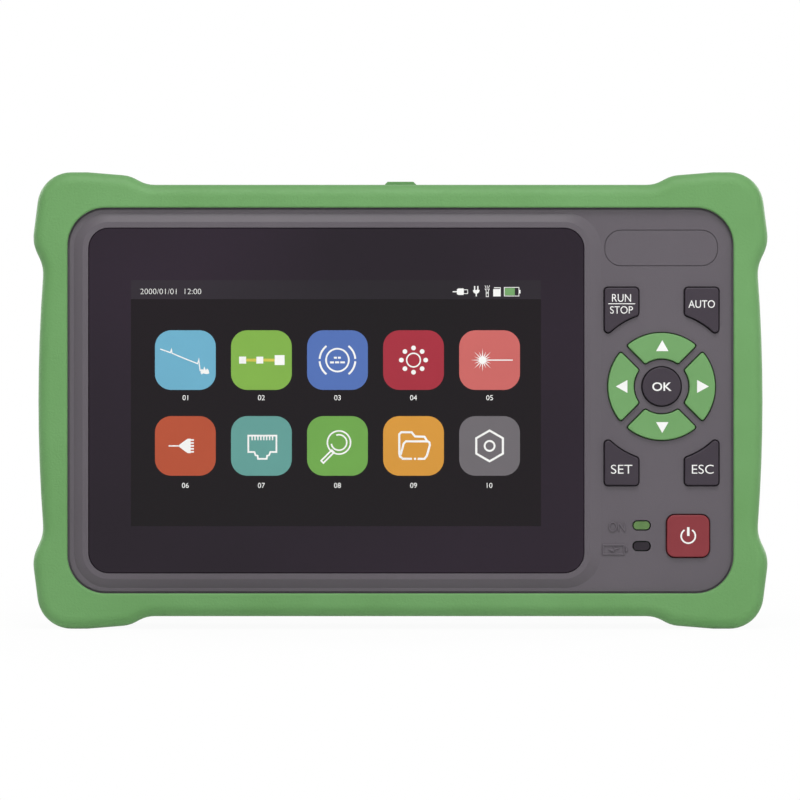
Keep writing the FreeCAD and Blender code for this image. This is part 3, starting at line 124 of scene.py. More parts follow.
def mouldedFinish(own):
    spec = {**mouldedUsual, **own}
    material, tree, shader, place = startMaterial(spec["name"], {
        "IOR": spec["ior"], "Specular IOR Level": spec["specular"], "Coat Weight": spec["coat"],
        "Coat Roughness": spec["coatRoughness"], "Sheen Weight": spec["sheen"],
        "Sheen Roughness": spec["sheenRoughness"]})
    drift = addNode(tree, "ShaderNodeTexNoise", inputs={
        "Vector": place, "Scale": perMetre(spec["driftMm"]), "Detail": spec["driftDetail"]})
    colours = addNode(tree, "ShaderNodeValToRGB", inputs={"Fac": drift.outputs["Fac"]})
    for index, colour in enumerate((spec["low"], spec["high"])):
        end = colours.color_ramp.elements[index]
        end.position, end.color = spec["driftEnds"][index], hexColour(colour)
    tree.links.new(colours.outputs["Color"], shader.inputs["Base Color"])
    grain = addNode(tree, "ShaderNodeTexNoise", inputs={
        "Vector": place, "Scale": perMetre(spec["grainMm"]), "Detail": spec["grainDetail"],
        "Roughness": spec["grainRoughness"]})
    roughenedBy(tree, shader, grain.outputs["Fac"], spec["roughness"], spec["bump"],
                spec["grainMm"] * mm * spec["rise"])
    return material


# Soft green over-moulded rubber: matt, with an eroded grain that breaks its highlights into fine specks;
# the real grain is about 0.2 mm, and this one is coarser so that it shows
bootRubber = mouldedFinish({
    "name": "thermoplastic rubber moulded green", "low": "639558", "high": "699B5F", "driftMm": 25,
    "grainMm": 0.6, "roughness": (0.44, 0.64), "bump": 0.6, "sheen": 0.05, "specular": 0.32})
# Grey ABS case: spark-eroded mould, an even dry surface with a soft sheen on its edges
caseGrey = mouldedFinish({
    "name": "ABS moulded warm grey", "low": "544E55", "high": "59535A", "driftMm": 40,
    "grainMm": 0.3, "roughness": (0.42, 0.56), "bump": 0.3, "specular": 0.4})
# A darker ABS for the stand and the battery door, as dry as the case, so that both stand out from it
standGrey = mouldedFinish({
    "name": "ABS moulded dark grey", "low": "454147", "high": "4A464B", "driftMm": 30,
    "grainMm": 0.3, "roughness": (0.45, 0.6), "bump": 0.3})
# Nylon bezel: dull charcoal with a plain, slightly open grain
bezelBlack = mouldedFinish({
    "name": "nylon moulded charcoal", "low": "2B292C", "high": "302E31", "driftMm": 20,
    "grainMm": 0.4, "roughness": (0.45, 0.6), "bump": 0.25})
# Silicone keys: silky and soft, almost no grain, with a broad low gloss
keyDark = mouldedFinish({
    "name": "silicone moulded charcoal", "low": "312933", "high": "352D37", "driftMm": 12,
    "grainMm": 0.25, "roughness": (0.4, 0.5), "bump": 0.12, "specular": 0.3})
keyGreen = mouldedFinish({
    "name": "silicone moulded green", "low": "68985D", "high": "6C9C61", "driftMm": 12,
    "grainMm": 0.25, "roughness": (0.4, 0.5), "bump": 0.12, "specular": 0.3})
keyRed = mouldedFinish({
    "name": "silicone moulded red", "low": "7E2A31", "high": "822E35", "driftMm": 12,
    "grainMm": 0.25, "roughness": (0.4, 0.5), "bump": 0.12, "specular": 0.3})
# Extruded silicone: a dull deep black with hardly a highlight
blackSeal = mouldedFinish({
    "name": "silicone extruded black", "low": "141415", "high": "1A1A1B", "driftMm": 10,
    "grainMm": 0.4, "roughness": (0.5, 0.65), "bump": 0.15})
# Glass-filled nylon: hard and black, with a tighter gloss than the case
jackBlack = mouldedFinish({
    "name": "glass-filled nylon moulded black", "low": "141416", "high": "1B1B1E", "driftMm": 6,
    "grainMm": 0.2, "roughness": (0.28, 0.4), "bump": 0.1})
# Shrunk film: wide soft ripples in a clear gloss
packWrap = mouldedFinish({
    "name": "PVC shrink wrap blue", "low": "1B2440", "high": "212B4B", "driftMm": 15,
    "grainMm": 1.5, "roughness": (0.2, 0.3), "bump": 0.3})
# Cast epoxy: milky, smooth and glossy
lampWhite = mouldedFinish({
    "name": "epoxy cast white", "low": "E2DECB", "high": "EAE6D6", "driftMm": 3,
    "grainMm": 0.3, "roughness": (0.25, 0.35), "bump": 0.05})
# Jacket of the launch fibre: smooth and waxy
fibreYellow = mouldedFinish({
    "name": "PVC jacket yellow", "low": "D4BC3E", "high": "DEC74C", "driftMm": 8,
    "grainMm": 0.3, "roughness": (0.35, 0.45), "bump": 0.1})
# Solder mask over glass cloth: a glossy green lacquer with the weave faint beneath it
boardGreen = mouldedFinish({
    "name": "solder mask green", "low": "14502E", "high": "1B5F38", "driftMm": 2,
    "grainMm": 0.6, "roughness": (0.22, 0.34), "bump": 0.15, "coat": 0.4})
# White pad-printed ink: dead flat against the silky keys
printWhite = mouldedFinish({
    "name": "pad printing ink white", "low": "E9E9E7", "high": "F1F1EF", "driftMm": 4,
    "grainMm": 0.2, "roughness": (0.5, 0.6), "bump": 0.05})
# Lamp lenses: tinted diffusers, smoother and glossier than the keys beside them
lensGreen = mouldedFinish({
    "name": "polycarbonate diffuser green", "low": "537441", "high": "5D8047", "driftMm": 3,
    "grainMm": 0.3, "roughness": (0.18, 0.26), "bump": 0.05, "specular": 0.35})
lensDark = mouldedFinish({
    "name": "polycarbonate diffuser smoked", "low": "1C151E", "high": "221A24", "driftMm": 3,
    "grainMm": 0.3, "roughness": (0.18, 0.26), "bump": 0.05, "specular": 0.3})
# Thin pieces of the lit picture in amber
displayAmber = mouldedFinish({
    "name": "display lit amber", "low": "C6BA4A", "high": "CEC253", "driftMm": 6,
    "grainMm": 0.5, "roughness": (0.1, 0.14), "bump": 0.0, "specular": 0.25})


# Metals: the bump and the roughness follow how each was cut or rolled
markRise = 0.2   # height of the tool marks, as a share of their size


def metalFinish(spec):
    material, tree, shader, place = startMaterial(spec["name"], {
        "Base Color": hexColour(spec["colour"]), "Metallic": 1.0})
    stretched = addNode(tree, "ShaderNodeMapping", inputs={"Vector": place, "Scale": spec["stretch"]})
    marks = addNode(tree, "ShaderNodeTexNoise", inputs={
        "Vector": stretched.outputs["Vector"], "Scale": perMetre(spec["markMm"]), "Detail": 3.0})
    roughenedBy(tree, shader, marks.outputs["Fac"], spec["roughness"], spec["bump"],
                spec["markMm"] * mm * markRise)
    return material


# Zinc-plated steel: a slightly milky mirror, with rolling marks that run from front to back
steelZinc = metalFinish({"name": "zinc plated steel rolled", "colour": "B9BBC0", "stretch": (1, 0.2, 1),
                         "markMm": 0.5, "roughness": (0.25, 0.4), "bump": 0.15})
# Nickel-plated brass: bright, with the rings that the lathe left across an upright axis
nickelTurned = metalFinish({"name": "nickel plated brass turned", "colour": "CFC9BE",
                            "stretch": (0.1, 0.1, 1), "markMm": 0.25, "roughness": (0.14, 0.26),
                            "bump": 0.12})
# Bare brass: warmer and a little duller, with the same rings
brassTurned = metalFinish({"name": "brass turned", "colour": "C9A55B", "stretch": (0.1, 0.1, 1),
                           "markMm": 0.25, "roughness": (0.2, 0.32), "bump": 0.12})
# Gold plating: a smooth warm mirror, with faint lines along each contact
goldPlated = metalFinish({"name": "gold plated contact", "colour": "E2B65A", "stretch": (1, 1, 0.1),
                          "markMm": 0.2, "roughness": (0.18, 0.28), "bump": 0.05})
# Cast aluminium, bead blasted: evenly frosted, without a direction
aluminiumCast = metalFinish({"name": "aluminium bead blasted", "colour": "B4B6B9", "stretch": (1, 1, 1),
                             "markMm": 0.3, "roughness": (0.4, 0.55), "bump": 0.3})


# Touch glass: printed behind, so its gloss lies over a deep tint, which is darker where the display is; slow
# lighter and darker patches in the tint are painted reflection
screen = {
    "face": -22.6, "left": -71.0, "right": 37.0, "low": 27.1, "high": 91.9,   # lit area, mm
    "strip": 86.9,                                           # lower edge of the status strip
    "border": "1F1421", "active": "0B0209", "stripTint": "231D25", "specular": 0.23,
    # painted reflection: the tint is lightened and darkened in slow patches of this size and range
    "driftMm": 70, "driftEnds": (0.3, 0.7), "drift": (0.75, 1.3),   # how far the tint strays
    "smearMm": 30, "smear": (0.05, 0.1),                     # faint handling smears, in the roughness
}


def glassFinish(area):
    material, tree, shader, place = startMaterial("soda-lime glass printed black", {
        "Specular IOR Level": area["specular"]})
    axes = addNode(tree, "ShaderNodeSeparateXYZ", inputs={"Vector": place})

    def inside(axis, low, high):
        middle, half = (low + high) / 2 * mm, (high - low) / 2 * mm
        return addNode(tree, "ShaderNodeMath", {"operation": "COMPARE"}, {
            0: axes.outputs[axis], 1: middle, 2: half}).outputs[0]

    across = inside("X", area["left"], area["right"])
    tint = hexColour(area["border"])
    for low, colour in ((area["low"], "active"), (area["strip"], "stripTint")):
        panel = addNode(tree, "ShaderNodeMath", {"operation": "MULTIPLY"}, {
            0: across, 1: inside("Z", low, area["high"])})
        mixed = addNode(tree, "ShaderNodeMix", {"data_type": "RGBA"}, {
            "Factor": panel.outputs[0], "A": tint, "B": hexColour(area[colour])})
        tint = mixed.outputs["Result"]
    # painted reflection: slow patches that lighten and darken the tint, in place of the surroundings mirrored
    # in the glass
    paintedReflectionPatches = addNode(tree, "ShaderNodeTexNoise", inputs={
        "Vector": place, "Scale": perMetre(area["driftMm"]), "Detail": 1.0})
    depth = addNode(tree, "ShaderNodeMapRange", inputs={
        "Value": paintedReflectionPatches.outputs["Fac"], "From Min": area["driftEnds"][0], "From Max": area["driftEnds"][1],
        "To Min": area["drift"][0], "To Max": area["drift"][1]})
    deep = addNode(tree, "ShaderNodeHueSaturation", inputs={"Color": tint, "Value": depth.outputs["Result"]})
    tree.links.new(deep.outputs["Color"], shader.inputs["Base Color"])
    smear = addNode(tree, "ShaderNodeTexNoise", inputs={
        "Vector": place, "Scale": perMetre(area["smearMm"]), "Detail": 4.0})
    roughness = addNode(tree, "ShaderNodeMapRange", inputs={
        "Value": smear.outputs["Fac"], "To Min": area["smear"][0], "To Max": area["smear"][1]})
    tree.links.new(roughness.outputs["Result"], shader.inputs["Roughness"])
    return material


touchGlass = glassFinish(screen)


# Torch lens: clear acrylic with the soft ripple of its mould
torchLens = {"colour": "EEF2F2", "ior": 1.49, "roughness": 0.06, "rippleMm": 1.5, "bump": 0.2, "deepMm": 0.1}


def clearFinish(lens):
    material, tree, shader, place = startMaterial("acrylic moulded clear", {
        "Base Color": hexColour(lens["colour"]), "IOR": lens["ior"], "Transmission Weight": 1.0,
        "Roughness": lens["roughness"]})
    ripple = addNode(tree, "ShaderNodeTexNoise", inputs={
        "Vector": place, "Scale": perMetre(lens["rippleMm"])})
    bump = addNode(tree, "ShaderNodeBump", inputs={
        "Height": ripple.outputs["Fac"], "Strength": lens["bump"], "Distance": lens["deepMm"] * mm})
    tree.links.new(bump.outputs["Normal"], shader.inputs["Normal"])
    return material


lensClear = clearFinish(torchLens)

# The finish of each CAD piece
nodeFinish = {
    bootRubber: ["boot", "port_cover", "side_flap"],
    caseGrey: ["front_shell", "rear_shell", "name_plate"],
    standGrey: ["kickstand", "battery_cover"],
    bezelBlack: ["port_bezel"],
    keyDark: ["key_run_stop", "key_auto", "key_set", "key_esc", "key_ok", "keypad_mat"],
    keyGreen: ["key_right", "key_up", "key_left", "key_down"],
    keyRed: ["key_power"],
    blackSeal: ["case_gasket", "glass_tape"],
    jackBlack: ["rj45_jack_1", "rj45_jack_2", "buzzer", "lcd_panel"],
    packWrap: ["battery_pack"],
    lampWhite: ["torch_led"],
    fibreYellow: ["fibre_coil"],
    boardGreen: ["key_board", "port_board", "main_board"],
    lensGreen: ["led_on_lens"],
    lensDark: ["led_charge_lens"],
    touchGlass: ["touch_glass"],
    lensClear: ["torch_lens"],
    steelZinc: ["case_screws", "display_screws", "keypad_screws", "kickstand_pin", "battery_cover_screws",
                "cover_pin", "main_board_screws", "shield_cans", "coin_cell", "usb_a_port", "usb_c_port",
                "card_slot"],
    nickelTurned: ["otdr_adapter", "vfl_adapter", "opm_adapter", "opm_detector"],
    brassTurned: ["threaded_inserts", "vfl_laser"],
    aluminiumCast: ["display_bracket", "otdr_module", "fibre_plate", "jack_plate"],
}


def dressNodes(finishes):
    for material, names in finishes.items():
        for name in names:
            mesh = nodes[name].data
            mesh.materials.clear()
            mesh.materials.append(material)


dressNodes(nodeFinish)

# The blade inside each USB socket is black plastic; it lies nearer the middle plane than the steel shell
socketBlades = {"nodes": ["usb_a_port", "usb_c_port"], "reach": 0.2}


def paintBlades(blades, material):
    for name in blades["nodes"]:
        place, mesh = nodes[name].matrix_world, nodes[name].data
        depths = [(place @ corner.co).y for corner in mesh.vertices]
        middle = (min(depths) + max(depths)) / 2
        reach = (max(depths) - min(depths)) * blades["reach"]
        mesh.materials.append(material)
        for face in mesh.polygons:
            if all(abs(depths[corner] - middle) < reach for corner in face.vertices):
                face.material_index = len(mesh.materials) - 1


paintBlades(socketBlades, jackBlack)
print("frame dressed")


# Flat marks: outlines in mm, seen from the front, made into thin closed prisms

def newPiece(name, mesh, materials, body):
    piece = bpy.data.objects.new(name, mesh)
    bpy.context.scene.collection.objects.link(piece)
    for material in materials:
        mesh.materials.append(material)
    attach(piece, body)
    return piece


def addPrism(work, outline, front, back):
    near = [work.verts.new((x * mm, front * mm, z * mm)) for x, z in outline]
    far = [work.verts.new((x * mm, back * mm, z * mm)) for x, z in outline]
    work.faces.new(near)
    work.faces.new(far[::-1])
    for index in range(len(outline)):
        after = (index + 1) % len(outline)
        work.faces.new((near[after], near[index], far[index], far[after]))


def addBand(work, left, right, closed, front, back):
    # left and right are the two edges of a line of even width
    rings = []
    for a, b in zip(left, right):
        rings.append([work.verts.new((x * mm, y * mm, z * mm)) for x, z, y in
                      ((*a, front), (*b, front), (*b, back), (*a, back))])
    count = len(rings) if closed else len(rings) - 1
    for index in range(count):
        here, there = rings[index], rings[(index + 1) % len(rings)]
        for side in range(4):
            after = (side + 1) % 4
            work.faces.new((here[side], here[after], there[after], there[side]))
    if not closed:
        work.faces.new(rings[0][::-1])
        work.faces.new(rings[-1])


# Sides of the round marks, and the limit that keeps a line's sharp corner from reaching far out
markSteps = {"disc": 28, "ring": 36, "arc": 20}
sharpest = 0.3


def bandEdges(points, width, closed):
    path = [Vector(p) for p in points]
    left, right = [], []
    for index, here in enumerate(path):
        before = path[index - 1] if index or closed else None
        after = path[(index + 1) % len(path)] if closed or index < len(path) - 1 else None
        arriving = (here - before).normalized() if before else (after - here).normalized()
        leaving = (after - here).normalized() if after else arriving
        along = (arriving + leaving).normalized()
        across = Vector((-along.y, along.x))
        reach = width / 2 / max(sharpest, across.dot(Vector((-leaving.y, leaving.x))))
        left.append(tuple(here + across * reach))
        right.append(tuple(here - across * reach))
    return left, right


def turned(x, z, radius, start, end, steps):
    return [(x + radius * math.cos(math.radians(start + (end - start) * k / steps)),
             z + radius * math.sin(math.radians(start + (end - start) * k / steps)))
            for k in range(steps + 1)]


def addMark(work, mark, x, z, front, back):
    # fill: points; disc: x, z, radius; line or loop: width, points; arc or ring: width, x, z, radius, degrees
    kind, values = mark[0], mark[1:]
    if kind == "fill":
        addPrism(work, [(x + a, z + b) for a, b in values[0]], front, back)
        return
    if kind == "disc":
        a, b, radius = values
        addPrism(work, turned(x + a, z + b, radius, 0, 360, markSteps[kind])[:-1], front, back)
        return
    if kind in ("line", "loop"):
        width, points = values
        points = [(x + a, z + b) for a, b in points]
    elif kind == "arc":
        width, a, b, radius, start, end = values
        points = turned(x + a, z + b, radius, start, end, markSteps[kind])
    else:
        width, a, b, radius = values
        points = turned(x + a, z + b, radius, 0, 360, markSteps[kind])[:-1]
    closed = kind in ("loop", "ring")
    left, right = bandEdges(points, width, closed)
    addBand(work, left, right, closed, front, back)


layerStep = 0.002   # mm between the fronts of marks that cross
weldGap = 1e-7      # metres: corners nearer than this are one


def marksMesh(name, marks, front, back):
    work = bmesh.new()
    for x, z, shapes in marks:
        for order, shape in enumerate(shapes):
            addMark(work, shape, x, z, front - order * layerStep, back)
    bmesh.ops.recalc_face_normals(work, faces=work.faces)
    mesh = bpy.data.meshes.new(name)
    work.to_mesh(mesh)
    work.free()
    return mesh


def flatLetters(curve):
    letters = bpy.data.objects.new(curve.name, curve)
    bpy.context.scene.collection.objects.link(letters)
    bpy.context.view_layer.update()
    result = letters.evaluated_get(bpy.context.evaluated_depsgraph_get())
    flat = bpy.data.meshes.new_from_object(result)
    bpy.data.objects.remove(letters)
    low = [min(v.co[k] for v in flat.vertices) for k in (0, 1)]
    high = [max(v.co[k] for v in flat.vertices) for k in (0, 1)]
    return flat, low, high


def textMesh(name, words, face, thick, bevel=0.0):
    # words: text, middle x, middle z, width, height, stroke weight, in mm; width 0 keeps the font's own
    work = bmesh.new()
    for text, x, z, width, height, weight in words:
        curve = bpy.data.curves.new(name, "FONT")
        curve.body, curve.size = text, 1.0
        flat, low, high = flatLetters(curve)
        bpy.data.meshes.remove(flat)
        curve.size = height * mm / (high[1] - low[1])
        curve.extrude = (thick / 2 - bevel) * mm
        curve.bevel_depth = bevel * mm
        curve.offset = (weight - bevel) * mm
        flat, low, high = flatLetters(curve)
        stretch = width * mm / (high[0] - low[0]) if width else 1.0
        centre = Matrix.Translation((-(low[0] + high[0]) / 2, -(low[1] + high[1]) / 2, thick / 2 * mm))
        flat.transform(Matrix.Diagonal((stretch, 1, 1, 1)) @ centre)
        upright = Matrix.Translation((x * mm, face * mm, z * mm)) @ Matrix.Rotation(math.pi / 2, 4, "X")
        flat.transform(upright)
        work.from_mesh(flat)
        bpy.data.curves.remove(curve)
        bpy.data.meshes.remove(flat)
    bmesh.ops.remove_doubles(work, verts=work.verts, dist=weldGap)
    mesh = bpy.data.meshes.new(name)
    work.to_mesh(mesh)
    work.free()
    return mesh


# Screen picture: rounded tiles in two rows, each with a plain sign and a number below

screenTiles = {
    "columns": 5, "rows": 2, "across": 20.03, "up": 22.6, "middle": (-16.6, 59.54),
    "wide": 16.0, "high": 15.7, "corner": 4.3, "cornerSteps": 10, "thick": 0.03,
    "roughness": 0.12, "specular": 0.23, "emission": 0.3,
    "glowMm": 12, "glow": (0.94, 1.04),   # the backlight is slightly uneven
    "upper": ["5D97AF", "6F993E", "45609C", "8E2432", "B05855"],
    "lower": ["9D442B", "548882", "5F9041", "BB8331", "5E5A5E"],
}


def tileFinish(tiles):
    # Lit display behind glass: flat clean colour with the glass's gloss over it
    material, tree, shader, place = startMaterial("display lit tiles", {
        "Roughness": tiles["roughness"], "Specular IOR Level": tiles["specular"],
        "Emission Strength": tiles["emission"]})
    axes = addNode(tree, "ShaderNodeSeparateXYZ", inputs={"Vector": place})
    span = tiles["columns"] * tiles["across"]
    start = tiles["middle"][0] - span / 2
    along = addNode(tree, "ShaderNodeMapRange", inputs={
        "Value": axes.outputs["X"], "From Min": start * mm, "From Max": (start + span) * mm})
    rows = []
    for colours in (tiles["lower"], tiles["upper"]):
        ramp = addNode(tree, "ShaderNodeValToRGB", inputs={"Fac": along.outputs["Result"]})
        ramp.color_ramp.interpolation = "CONSTANT"
        stops = ramp.color_ramp.elements
        stops[0].color, stops[-1].color = hexColour(colours[0]), hexColour(colours[-1])
        for column, colour in enumerate(colours[1:], 1):
            stops.new(column / len(colours)).color = hexColour(colour)
        rows.append(ramp.outputs["Color"])
    upper = addNode(tree, "ShaderNodeMath", {"operation": "GREATER_THAN"}, {
        0: axes.outputs["Z"], 1: tiles["middle"][1] * mm})
    chosen = addNode(tree, "ShaderNodeMix", {"data_type": "RGBA"}, {
        "Factor": upper.outputs[0], "A": rows[0], "B": rows[1]})
    glow = addNode(tree, "ShaderNodeTexNoise", inputs={"Vector": place, "Scale": perMetre(tiles["glowMm"])})
    value = addNode(tree, "ShaderNodeMapRange", inputs={
        "Value": glow.outputs["Fac"], "To Min": tiles["glow"][0], "To Max": tiles["glow"][1]})
    shade = addNode(tree, "ShaderNodeHueSaturation", inputs={
        "Color": chosen.outputs["Result"], "Value": value.outputs["Result"]})
    tree.links.new(shade.outputs["Color"], shader.inputs["Base Color"])
    tree.links.new(shade.outputs["Color"], shader.inputs["Emission Color"])
    return material


sealGap = 0.002   # mm


def socketId(tree, name):
    return next(item.identifier for item in tree.interface.items_tree
                if item.item_type == "SOCKET" and item.in_out == "INPUT" and item.name == name)


def newTree(name, sizes):
    tree = bpy.data.node_groups.new(name, "GeometryNodeTree")
    tree.interface.new_socket("Geometry", in_out="INPUT", socket_type="NodeSocketGeometry")
    for label, kind in sizes.items():
        tree.interface.new_socket(label, in_out="INPUT", socket_type=kind)
    tree.interface.new_socket("Geometry", in_out="OUTPUT", socket_type="NodeSocketGeometry")
    return tree, addNode(tree, "NodeGroupInput").outputs


def sealed(tree, parts):
    # joins parts of a mesh and closes the seams between them
    whole = addNode(tree, "GeometryNodeJoinGeometry")
    for part in parts:
        tree.links.new(part.outputs["Mesh"], whole.inputs["Geometry"])
    return addNode(tree, "GeometryNodeMergeByDistance", inputs={
        "Geometry": whole.outputs["Geometry"], "Distance": sealGap * mm}).outputs["Geometry"]


def endTree(tree, geometry, material):
    real = addNode(tree, "GeometryNodeRealizeInstances", inputs={"Geometry": geometry})
    painted = addNode(tree, "GeometryNodeSetMaterial", inputs={
        "Geometry": real.outputs["Geometry"], "Material": material})
    addNode(tree, "NodeGroupOutput", inputs={"Geometry": painted.outputs["Geometry"]})


def grown(name, tree, values, points=((0, 0, 0),)):
    # runs a tree on bare points and returns its result as a plain mesh
    seed = bpy.data.meshes.new(name + "Seed")
    seed.from_pydata([tuple(c * mm for c in p) for p in points], [], [])
    holder = bpy.data.objects.new(name + "Seed", seed)
    bpy.context.scene.collection.objects.link(holder)
    modifier = holder.modifiers.new("grow", "NODES")
    modifier.node_group = tree
    for label, value in values.items():
        modifier[socketId(tree, label)] = value
    bpy.context.view_layer.update()
    result = holder.evaluated_get(bpy.context.evaluated_depsgraph_get())
    mesh = bpy.data.meshes.new_from_object(result)
    mesh.name = name
    bpy.data.objects.remove(holder)
    return mesh


def tileTree():
    tree, given = newTree("screenTileGrid", {
        "Columns": "NodeSocketInt", "Rows": "NodeSocketInt", "Width": "NodeSocketFloat",
        "Height": "NodeSocketFloat", "Tile Wide": "NodeSocketFloat", "Tile High": "NodeSocketFloat",
        "Corner": "NodeSocketFloat", "Corner Steps": "NodeSocketInt", "Thick": "NodeSocketFloat",
        "Place": "NodeSocketVector", "Finish": "NodeSocketMaterial"})
    grid = addNode(tree, "GeometryNodeMeshGrid", inputs={
        "Size X": given["Width"], "Size Y": given["Height"],
        "Vertices X": given["Columns"], "Vertices Y": given["Rows"]})
    square = addNode(tree, "GeometryNodeCurvePrimitiveQuadrilateral", inputs={
        "Width": given["Tile Wide"], "Height": given["Tile High"]})
    soft = addNode(tree, "GeometryNodeFilletCurve", {"mode": "POLY"}, {
        "Curve": square.outputs["Curve"], "Radius": given["Corner"], "Count": given["Corner Steps"]})
    filled = addNode(tree, "GeometryNodeFillCurve", inputs={"Curve": soft.outputs["Curve"]})
    raised = addNode(tree, "GeometryNodeExtrudeMesh", inputs={
        "Mesh": filled.outputs["Mesh"], "Offset Scale": given["Thick"], "Individual": False})
    back = addNode(tree, "GeometryNodeFlipFaces", inputs={"Mesh": filled.outputs["Mesh"]})
    spread = addNode(tree, "GeometryNodeInstanceOnPoints", inputs={
        "Points": grid.outputs["Mesh"], "Instance": sealed(tree, (raised, back))})
    stood = addNode(tree, "GeometryNodeTransform", inputs={
        "Geometry": spread.outputs["Instances"], "Rotation": (math.pi / 2, 0, 0),
        "Translation": given["Place"]})
    endTree(tree, stood.outputs["Geometry"], given["Finish"])
    return tree


def makeTiles(tiles, area):
    values = {
        "Columns": tiles["columns"], "Rows": tiles["rows"],
        "Width": (tiles["columns"] - 1) * tiles["across"] * mm,
        "Height": (tiles["rows"] - 1) * tiles["up"] * mm,
        "Tile Wide": tiles["wide"] * mm, "Tile High": tiles["high"] * mm, "Corner": tiles["corner"] * mm,
        "Corner Steps": tiles["cornerSteps"], "Thick": tiles["thick"] * mm,
        "Place": (tiles["middle"][0] * mm, area["face"] * mm, tiles["middle"][1] * mm),
        "Finish": tileFinish(tiles)}
    mesh = grown("screen_tiles", tileTree(), values)
    newPiece("screen_tiles", mesh, [], caseBody)


makeTiles(screenTiles, screen)

# Signs on the tiles, in mm from each tile's middle


def rays(x, core, long, short, count, spread):
    # a burst of thin points round (x, 0), long and short in turn
    points = []
    for k in range(count):
        turn, reach = 2 * math.pi * k / count, short if k % 2 else long
        points.append(("fill", [(x + far * math.cos(angle), far * math.sin(angle)) for far, angle in (
            (core, turn - spread), (reach, turn), (core, turn + spread))]))
    return points


def around(count, radius, turn=0.0):
    angles = [turn + 2 * math.pi * k / count for k in range(count)]
    return [(radius * math.cos(a), radius * math.sin(a)) for a in angles]


signs = [
    # a falling trace with two steps
    [("line", 0.28, [(-6.6, 2.9), (-3.9, 1.95), (-3.65, 2.8), (-3.5, 1.8), (0.2, 0.25), (3.25, -0.95),
                     (3.55, 0.2), (3.7, -1.4), (3.9, -2.75), (4.4, -2.6)]),
     ("fill", [(4.0, -3.1), (4.2, -3.8), (4.7, -3.5), (5.6, -3.7), (6.3, -3.5), (6.1, -2.6), (5.7, -2.2),
               (5.4, -2.7), (5.0, -1.7), (4.7, -2.6), (4.3, -2.3)])],
    # three joints, which the amber link runs through
    [("fill", [(x - half, -half), (x + half, -half), (x + half, half), (x - half, half)])
     for x, half in ((-4.95, 0.92), (-0.42, 0.9), (4.8, 1.3))],
    # a dial with dashes for its reading
    [("ring", 0.45, 0, 0, 3.0)] + [
        ("arc", 0.5, 0, 0, 4.7, start, start + 48) for start in (4, -52, 128, 184)] + [
        ("line", 0.5, [(x - half, z), (x + half, z)])
        for x, z, half in ((-0.55, 0.62, 0.38), (0.5, 0.62, 0.38), (-1.45, -0.6, 0.5), (-0.1, -0.6, 0.55),
                           (1.35, -0.6, 0.6))],
    # a lamp with dots round it
    [("ring", 0.36, 0, 0, 1.8)] + [("disc", x, z, 0.62) for x, z in around(8, 3.2)],
    # a burst with one long beam
    rays(-1.85, 0.9, 3.1, 2.4, 16, 0.16) + [("line", 0.3, [(-1.2, 0), (6.1, 0)]), ("disc", -1.85, 0, 0.95)],
    # a plug with five pins
    [("line", 0.34, [(-4.4, 0), (-1.4, 0)]),
     ("fill", [(-1.6, -0.3), (0.6, -1.9), (1.4, -1.9), (1.4, 1.9), (0.6, 1.9), (-1.6, 0.3)])] + [
        ("line", 0.42, [(1.3, -1.55 + 0.775 * k), (2.25, -1.55 + 0.775 * k)]) for k in range(5)],
    # an eight-way jack
    [("loop", 0.45, [(-3.45, 2.7), (-3.45, -1.6), (-1.85, -1.6), (-1.55, -2.45), (-1.0, -2.6), (-0.9, -3.4),
                     (1.4, -3.4), (1.5, -2.6), (2.05, -2.45), (2.35, -1.6), (3.95, -1.6), (3.95, 2.7)])] + [
        ("line", 0.34, [(-2.45 + 0.77 * k, 2.6), (-2.45 + 0.77 * k, 1.5)]) for k in range(8)],
    # a magnifier
    [("ring", 0.4, 0.4, 0.9, 3.05), ("arc", 0.4, 0.4, 0.9, 2.05, -170, 110),
     ("loop", 0.42, [(-1.5, -1.1), (-4.3, -3.9), (-3.7, -4.5), (-0.9, -1.7)])],
    # an open folder
    [("line", 0.55, [(-0.4, -3.4), (-2.8, -3.4), (-3.55, -2.8), (-3.75, -2.0), (-3.75, 3.1), (-3.2, 3.6),
                     (-0.5, 3.6), (0.4, 2.5), (2.9, 2.4), (3.5, 1.4), (4.2, 0.9), (4.3, 0.2), (3.5, -2.6),
                     (2.9, -3.4), (1.1, -3.4)]),
     ("line", 0.55, [(3.9, 1.2), (-2.0, 1.2), (-2.6, 0.6), (-3.4, -2.4)]), ("disc", 0.4, -3.4, 0.3)],
    # a nut
    [("loop", 0.55, around(6, 4.05, math.pi / 6)), ("ring", 0.5, 0, 0, 1.3)],
]
signLinks = {"tile": 1, "shapes": [("line", 0.74, [(-5.2, 0), (3.6, 0)])]}
tileNumbers = {"height": 1.35, "drop": (10.4, 9.9), "weight": 0.0}
